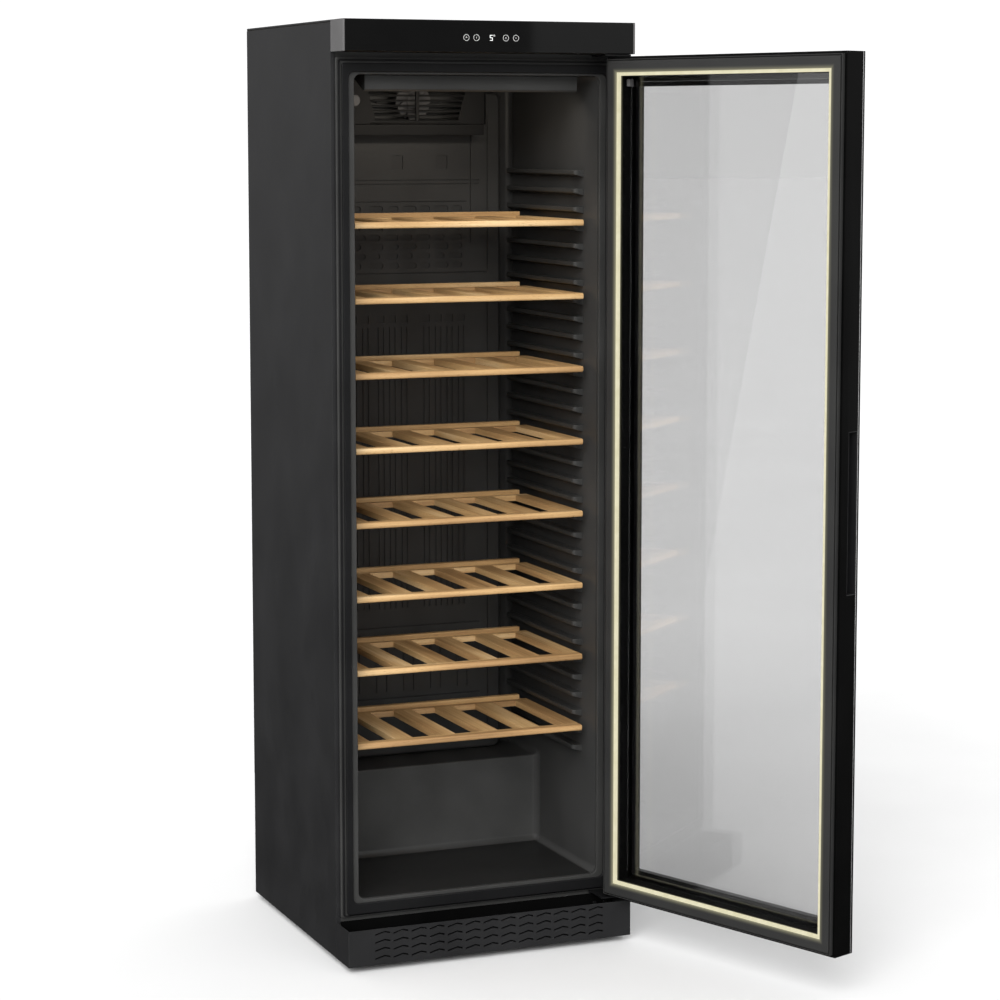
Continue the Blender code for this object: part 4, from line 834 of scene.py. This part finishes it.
def doorPieces():
    s = doorSpec
    pane = addBlock("outer_pane", (-s["half"], s["front"], s["low"]),
                    (s["half"], s["front"] + s["pane"], s["high"]))
    softEdges(pane, 0.0009, 2)
    onDoor(pane, "door_glass", "door_glass_outer")
    near, far, inset = s["innerPane"]
    inner = addBlock("inner_pane", (-s["half"] + inset, s["front"] + near, s["low"] + inset),
                     (s["half"] - inset, s["front"] + far, s["high"] - inset))
    softEdges(inner, 0.0006, 1)
    onDoor(inner, "door_glass", "door_glass_inner")
    surround = doorRing("door_surround", (0.0, s["surround"]), s["moulding"], s["depth"], 0.0,
                        0.0015)
    softEdges(surround, 0.0010, 3)
    low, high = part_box("door_handle_insert")
    middle = s["front"] + s["gripMiddle"]
    cutAway(surround, addBlock("grip", (-s["half"] - 0.01, middle - s["gripHalf"], low.z - 0.0003),
                               (-s["half"] + s["gripDepth"], middle + s["gripHalf"],
                                high.z + 0.0003)))
    radius, length = s["bore"]
    inset, outward = s["boreInset"]
    for z in (s["low"] + inset - outward, s["high"] - inset + outward):
        cutAway(surround, addRound("bore", (hinge.x, hinge.y, z), radius, length, "Z", 32))
    evenShade(surround)
    onDoor(surround, "black_plastic", "door_frame", finish=doorBlack)
    frit = doorRing("frit_border", s["frit"], s["pane"] + 0.00005, s["pane"] + 0.00025, 0.0, 0.003)
    onDoor(frit, "black_glass", "door_glass_outer", finish=edgeFrit)
    spacer = doorRing("spacer_bar", s["spacer"], s["moulding"], s["innerPane"][0] - 0.0003,
                      0.002, 0.002)
    softEdges(spacer, 0.0006, 1)
    onDoor(spacer, "spacer_aluminium", "glass_spacer")
    # the seal: a wide flat face, and a fine lip across a groove by the door's edge
    seal = doorRing("seal_face", (0.0085, s["seal"][1]), s["back"], s["sealFace"])
    softEdges(seal, 0.0012, 2)
    lip = doorRing("seal_lip", (s["seal"][0], 0.0066), s["back"], s["lipFace"])
    softEdges(lip, 0.0005, 2)
    foot = doorRing("seal_foot", (0.0064, 0.0088), s["back"], 0.0540)
    onDoor(joined("seal_face", [seal, lip, foot]), "seal_rubber", "door_gasket")
    strip = doorRing("light_strip", s["strip"], s["back"], s["stripFace"], 0.001, 0.001)
    softEdges(strip, 0.0014, 3)
    onDoor(strip, "light_diffuser", "door_light_strip")


doorPieces()
# painted light: the strip's glow painted on the door's moulding and its seal
paintStripGlow(doorBlack)
paintStripGlow(finishes["seal_rubber"])
for node, width in (("door_handle_insert", 0.0007),
                    ("light_connector_cap", 0.0012), ("hinge_bush_bottom", 0.0005),
                    ("hinge_bush_top", 0.0005)):
    refine(node, width)
print("door")


# control panel: four ringed key symbols either side of one digit and a degree ring
fasciaSpec = {"rings": (-0.0524, -0.0320, 0.0279, 0.0485), "level": 1.7805, "radius": 0.0056,
              "line": 0.00025, "digitHigh": 0.0105, "digitWide": 0.0056, "stroke": 0.0010,
              "digitShift": -0.002, "degree": (0.0040, 0.0042, 0.0013), "proud": 0.0002,
              # bars inside the rings as half width, bottom and top, and which bars each ring has
              "bars": ((0.0016, -0.0002, 0.0002), (0.0002, -0.0016, 0.0016),
                       (0.0002, 0.0004, 0.0022)),
              "marks": ((0, 2), (1,), (0, 1), (0,))}


def fasciaSymbols():
    s = fasciaSpec
    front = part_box("fascia_glass")[0].y
    level = s["level"]
    parts = []

    def addRing(x, z, radius, segments):
        bpy.ops.object.select_all(action="DESELECT")
        bpy.ops.mesh.primitive_torus_add(major_radius=radius, minor_radius=s["line"],
                                         major_segments=segments, minor_segments=6,
                                         location=(x, front, z), rotation=(pi / 2, 0, 0))
        bpy.ops.object.transform_apply(location=True, rotation=True, scale=True)
        parts.append(bpy.context.object)

    def addBar(name, x0, x1, z0, z1):
        parts.append(addBlock(name, (x0, front - s["proud"], level + z0),
                              (x1, front + s["proud"], level + z1)))

    for x, marks in zip(s["rings"], s["marks"]):
        addRing(x, level, s["radius"], 40)
        for half, bottom, top in (s["bars"][k] for k in marks):
            addBar("bar", x - half, x + half, bottom, top)
    thick = s["stroke"]
    high, wide = s["digitHigh"] / 2, s["digitWide"] / 2
    strokes = ((-wide, wide, high - thick, high), (-wide, -wide + thick, 0.0, high),
               (-wide, wide, -thick / 2, thick / 2), (wide - thick, wide, -high, 0.0),
               (-wide, wide, -high, -high + thick))
    for x0, x1, z0, z1 in strokes:
        addBar("stroke", x0 + s["digitShift"], x1 + s["digitShift"], z0, z1)
    x, rise, radius = s["degree"]
    addRing(x, level + rise, radius, 20)
    finishPiece(joined("control_symbols", parts), "cabinet", "white_plastic", finish=symbolInk)


fasciaSymbols()
for node, width in (("fascia_glass", 0.0009), ("fascia_end_cap_left", 0.0010),
                    ("fascia_end_cap_right", 0.0010), ("fascia_housing", 0.0006),
                    ("top_panel", 0.0012), ("side_panel_left", 0.0009),
                    ("side_panel_right", 0.0009), ("ceiling_lamp_cover", 0.0012),
                    ("temperature_sensor", 0.0010), ("hinge_bracket_top", 0.0005),
                    ("hinge_bracket_bottom", 0.0005), ("levelling_foot_left", 0.0008),
                    ("levelling_foot_right", 0.0008), ("rear_roller_left", 0.0010),
                    ("rear_roller_right", 0.0010), ("rear_spacer_top", 0.0020),
                    ("rear_spacer_bottom", 0.0020), ("power_inlet", 0.0006),
                    ("compressor_mounts", 0.0010),
                    ("start_relay", 0.0012), ("evaporation_tray", 0.0008),
                    ("evaporator_fan_motor", 0.0008)):
    refine(node, width)


# round parts of the machinery keep their CAD outline and get smooth, welded skins
for node in ("compressor", "condenser_coil", "refrigerant_tube"):
    welded = weldedCopy(node)
    bpy.ops.object.shade_smooth_by_angle(angle=radians(40))
    finishPiece(welded, "cabinet", slotOf[node], node)
refine("drip_tray", 0.0008, frameBlack)
print("casing, controls and machinery")


# plinth: a folded sheet with rows of shallow tick-shaped slots
plinthSpec = {"half": 0.2975, "front": -0.2965, "rear": -0.2248, "low": 0.012, "high": 0.083,
              "sheet": 0.0020, "columns": 13, "first": -0.24375, "pitch": 0.0375,
              "rows": (0.0240, 0.0398, 0.0556, 0.0714), "run": 0.0310, "apex": 0.0198,
              "rise": 0.0052, "fall": 0.0030, "wide": 0.0030, "inside": 0.2890, "screen": 0.0045}


def plinth():
    s = plinthSpec
    front = addBlock("plinth", (-s["half"], s["front"], s["low"]),
                     (s["half"], s["rear"], s["high"]))
    bevelEdges(front, 0.0016, 3, lambda place, way: abs(way.z) > 0.99
               and place.y < s["front"] + 0.001)
    editWith(front, "FACE", lambda place, normal: abs(normal.z) > 0.9 or normal.y > 0.9)
    bpy.ops.mesh.delete(type="FACE")
    bpy.ops.object.mode_set(mode="OBJECT")
    applyModifier(front, "SOLIDIFY", thickness=s["sheet"], offset=-1.0)
    softEdges(front, 0.0004, 1)
    slots = []
    for z in s["rows"]:
        tick = addBlock("tick", (s["first"], s["front"] - 0.01, z - s["wide"] / 2),
                        (s["first"] + s["run"], s["front"] + 0.01, z + s["wide"] / 2))
        pick(tick)
        bpy.ops.object.mode_set(mode="EDIT")
        bpy.ops.mesh.select_all(action="SELECT")
        bpy.ops.mesh.bisect(plane_co=(s["first"] + s["apex"], 0, 0), plane_no=(1, 0, 0))
        bpy.ops.object.mode_set(mode="OBJECT")
        for vertex in tick.data.vertices:
            if abs(vertex.co.x - s["first"] - s["apex"]) < 0.0001:
                vertex.co.z += s["rise"]
            elif vertex.co.x > s["first"] + 0.001:
                vertex.co.z += s["rise"] - s["fall"]
        repeated(tick, s["columns"], (s["pitch"], 0, 0))
        slots.append(tick)
    cutAway(front, joined("ticks", slots))
    evenShade(front)
    finishPiece(front, "cabinet", "casing_paint", "kick_plate")
    # what shows through the slots: a filter screen, a splash tray and its raised rear
    half = s["inside"]
    near, far = s["front"] + s["screen"], s["rear"] - 0.0010
    screen = addBlock("screen", (-half, near, s["low"] + 0.001),
                      (half, near + 0.0020, s["high"] - 0.012))
    tray = addBlock("tray", (-half, near, s["low"] + 0.0008), (half, far, s["low"] + 0.0022))
    rear = addBlock("rear", (-half, far - 0.0020, s["low"] + 0.001),
                    (half, far, s["high"] + 0.0016))
    for piece in (screen, tray, rear):
        softEdges(piece, 0.0005, 2)
    finishPiece(joined("plinth_filter", [screen, tray, rear]), "cabinet", "dark_rubber",
                finish=filterBlack)


plinth()


# fan housing under the ceiling: tapering louvres either side of a post, a sill below them
coverSpec = {"wall": 0.0025, "rows": 6, "pitch": 0.0100, "slot": 0.0062, "post": 0.004,
             "reach": 0.104, "taper": 0.014, "first": 0.009, "lap": 0.0010}


def fanHousing():
    s = coverSpec
    low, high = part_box("evaporator_cover")
    cover = addBlock("fan_housing", low, high)
    bevelEdges(cover, 0.006, 4, lambda place, way: abs(way.z) > 0.99 and place.y < low.y + 0.001)
    editWith(cover, "FACE", lambda place, normal: normal.y > 0.9)
    bpy.ops.mesh.delete(type="FACE")
    bpy.ops.object.mode_set(mode="OBJECT")
    applyModifier(cover, "SOLIDIFY", thickness=s["wall"], offset=-1.0)
    softEdges(cover, 0.0008, 2)
    first = low.z + s["first"]
    rows = [(first + row * s["pitch"], s["reach"] - s["taper"] * (1 - row / (s["rows"] - 1)))
            for row in range(s["rows"])]
    slots = []
    for z, reach in rows:
        for side in (-1, 1):
            ends = sorted((side * s["post"], side * reach))
            slots.append(addBlock("slot", (ends[0], low.y - 0.01, z),
                                  (ends[1], low.y + 0.008, z + s["slot"])))
    cutAway(cover, joined("slots", slots))
    # each louvre stands proud, with a rounded lip that catches the light
    louvres = []
    for z, reach in rows:
        louvre = addBlock("louvre", (-reach + 0.001, low.y - 0.0022, z - 0.0022),
                          (reach - 0.001, low.y + s["lap"], z - 0.0006))
        softEdges(louvre, 0.0006, 2)
        louvres.append(louvre)
    post = addBlock("post", (-s["post"] + 0.0004, low.y - 0.0030, first - 0.003),
                    (s["post"] - 0.0004, low.y + s["lap"], first + s["rows"] * s["pitch"]))
    softEdges(post, 0.0008, 2)
    sill = addBlock("sill", (-s["reach"] + 0.004, low.y - 0.0035, low.z + 0.0006),
                    (s["reach"] - 0.004, low.y + s["lap"], low.z + 0.0032))
    softEdges(sill, 0.0008, 2)
    evenShade(cover)
    finishPiece(joined("fan_housing", [cover, post, sill] + louvres), "cabinet",
                "liner_plastic", "evaporator_cover", finish=frameBlack)


fanHousing()


# back sheet: one raised field with softened beads, as pressed to stiffen it; each step of the
# pressing is how far it goes in from the last edge and how far it rises
backSpec = {"steps": ((0.050, 0.0), (0.006, 0.0030), (0.060, 0.0), (0.005, -0.0022),
                      (0.030, 0.0), (0.005, 0.0022))}


def backSheet():
    low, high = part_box("rear_panel")
    sheet = addBlock("back_sheet", low, high)
    editWith(sheet, "FACE", lambda place, normal: normal.y > 0.9)
    for inward, rise in backSpec["steps"]:
        bpy.ops.mesh.inset(thickness=inward, depth=rise)
    bpy.ops.object.mode_set(mode="OBJECT")
    softEdges(sheet, 0.0008, 2, 12)
    finishPiece(sheet, "cabinet", "zinc_steel", "rear_panel")


backSheet()
print("plinth, fan housing and back sheet")


# floor, lights and camera
studioSpec = {"sun": 3.4, "sunTurn": (60, 0, -34), "sunWide": 40, "sky": 1.1, "lamp": 0.45,
              "lampSize": (0.40, 0.03), "lampPlace": (0, -0.150, 1.672), "lampTilt": 32,
              "roomRadius": 400, "roomLevels": (-130.0, 200.0), "capGlow": 1.6, "paneGlow": 3.2,
              # window shapes on the room's wall: lean with height, first and last bearing
              "capWindow": (0.0015, 1.57, 2.738), "paneWindow": (0.00043, -2.1, -1.2244)}
cameraSpec = {"place": (-2.015, -5.2072, 1.607), "turn": (90 - 6.635, 0, -22.467),
              "lens": 100.40, "shift": -0.045}


def addStudioObject(name, data):
    obj = bpy.data.objects.new(name, data)
    bpy.context.scene.collection.objects.link(obj)
    return obj


# a pale, matt painted floor
def studioFloor():
    bpy.ops.object.select_all(action="DESELECT")
    bpy.ops.mesh.primitive_plane_add(size=160, location=(0, 0, -0.0002))
    floor = bpy.context.object
    floor.name = "studio_floor"
    material, tree = newFinish("paleStudioFloor")
    place = addNode(tree, "ShaderNodeTexCoord")
    cloud = addNode(tree, "ShaderNodeTexNoise", {"Scale": 1.5, "Detail": 3.0},
                    {"Vector": place.outputs["Object"]})
    colour = rampOf(tree, cloud.outputs["Fac"], [(0.3, "#d6d6d6"), (0.7, "#dadada")])
    shader = addNode(tree, "ShaderNodeBsdfPrincipled",
                     {"Roughness": 0.9, "Specular IOR Level": 0.1}, {"Base Color": colour})
    addNode(tree, "ShaderNodeOutputMaterial", links={"Surface": shader.outputs["BSDF"]})
    floor.data.materials.append(material)
    floor.visible_glossy = False


# a dim room that only glossy surfaces mirror: darker low down, with two bright window shapes
def studioRoom():
    s = studioSpec
    bpy.ops.object.select_all(action="DESELECT")
    bpy.ops.mesh.primitive_uv_sphere_add(radius=s["roomRadius"], segments=64, ring_count=32)
    room = bpy.context.object
    room.name = "studio_room"
    for flag in ("visible_camera", "visible_diffuse", "visible_transmission", "visible_shadow",
                 "visible_volume_scatter"):
        setattr(room, flag, False)
    material, tree = newFinish("studioRoomGlow")
    place = addNode(tree, "ShaderNodeTexCoord")
    split = addNode(tree, "ShaderNodeSeparateXYZ", links={"Vector": place.outputs["Object"]})
    low, high = s["roomLevels"]
    level = addNode(tree, "ShaderNodeMapRange", {"From Min": low, "From Max": high},
                    {"Value": split.outputs["Z"]})
    base = rampOf(tree, level.outputs["Result"],
                  [(0.0, "#161616"), (0.12, "#323232"), (0.40, "#828282"), (1.0, "#c8c8c8")])
    bearing = maths(tree, "ARCTAN2", split.outputs["X"], split.outputs["Y"])
    shares = []
    for (slope, start, end), leans in ((s["capWindow"], False), (s["paneWindow"], True)):
        lean = maths(tree, "ADD", maths(tree, "MULTIPLY", split.outputs["Z"], slope), bearing)
        above = maths(tree, "GREATER_THAN", lean, start)
        below = maths(tree, "LESS_THAN", lean if leans else bearing, end)
        shares.append(maths(tree, "MULTIPLY", above, below))
    both = maths(tree, "ADD", maths(tree, "MULTIPLY", shares[1], s["paneGlow"]), shares[0])
    total = maths(tree, "ADD", maths(tree, "MULTIPLY", both, s["capGlow"]), 1.0)
    glow = addNode(tree, "ShaderNodeEmission", links={"Color": base, "Strength": total})
    addNode(tree, "ShaderNodeOutputMaterial", links={"Surface": glow.outputs["Emission"]})
    room.data.materials.append(material)


def studioLights():
    s = studioSpec
    world = bpy.data.worlds.new("studio")
    world.use_nodes = True
    world.node_tree.nodes.clear()
    back = addNode(world.node_tree, "ShaderNodeBackground",
                   {"Color": linear("#ffffff"), "Strength": s["sky"]})
    addNode(world.node_tree, "ShaderNodeOutputWorld",
            links={"Surface": back.outputs["Background"]})
    bpy.context.scene.world = world

    sun = bpy.data.lights.new("softSky", "SUN")
    sun.energy = s["sun"]
    sun.angle = radians(s["sunWide"])
    sunObj = addStudioObject("softSky", sun)
    sunObj.rotation_euler = [radians(angle) for angle in s["sunTurn"]]
    sunObj.visible_glossy = False

    # the lamp under the ceiling: a soft strip that grazes the duct panel's pressings
    lamp = bpy.data.lights.new("ceilingGlow", "AREA")
    lamp.shape = "RECTANGLE"
    lamp.size, lamp.size_y = s["lampSize"]
    lamp.energy = s["lamp"]
    lamp.color = linear("#fff3e2")[:3]
    lampObj = addStudioObject("ceilingGlow", lamp)
    lampObj.location = s["lampPlace"]
    lampObj.rotation_euler = (radians(s["lampTilt"]), 0, 0)
    lampObj.visible_camera = False


def studioCamera():
    s = cameraSpec
    camera = bpy.data.cameras.new("mainCamera")
    camera.lens = s["lens"]
    camera.sensor_width = 36
    camera.clip_end = 200
    camera.shift_y = s["shift"]
    cameraObj = addStudioObject("mainCamera", camera)
    cameraObj.location = s["place"]
    cameraObj.rotation_euler = [radians(angle) for angle in s["turn"]]
    bpy.context.scene.camera = cameraObj


studioFloor()
studioRoom()
studioLights()
studioCamera()
bpy.context.scene.view_settings.view_transform = "Standard"
print("studio")

bpy.context.view_layer.update()
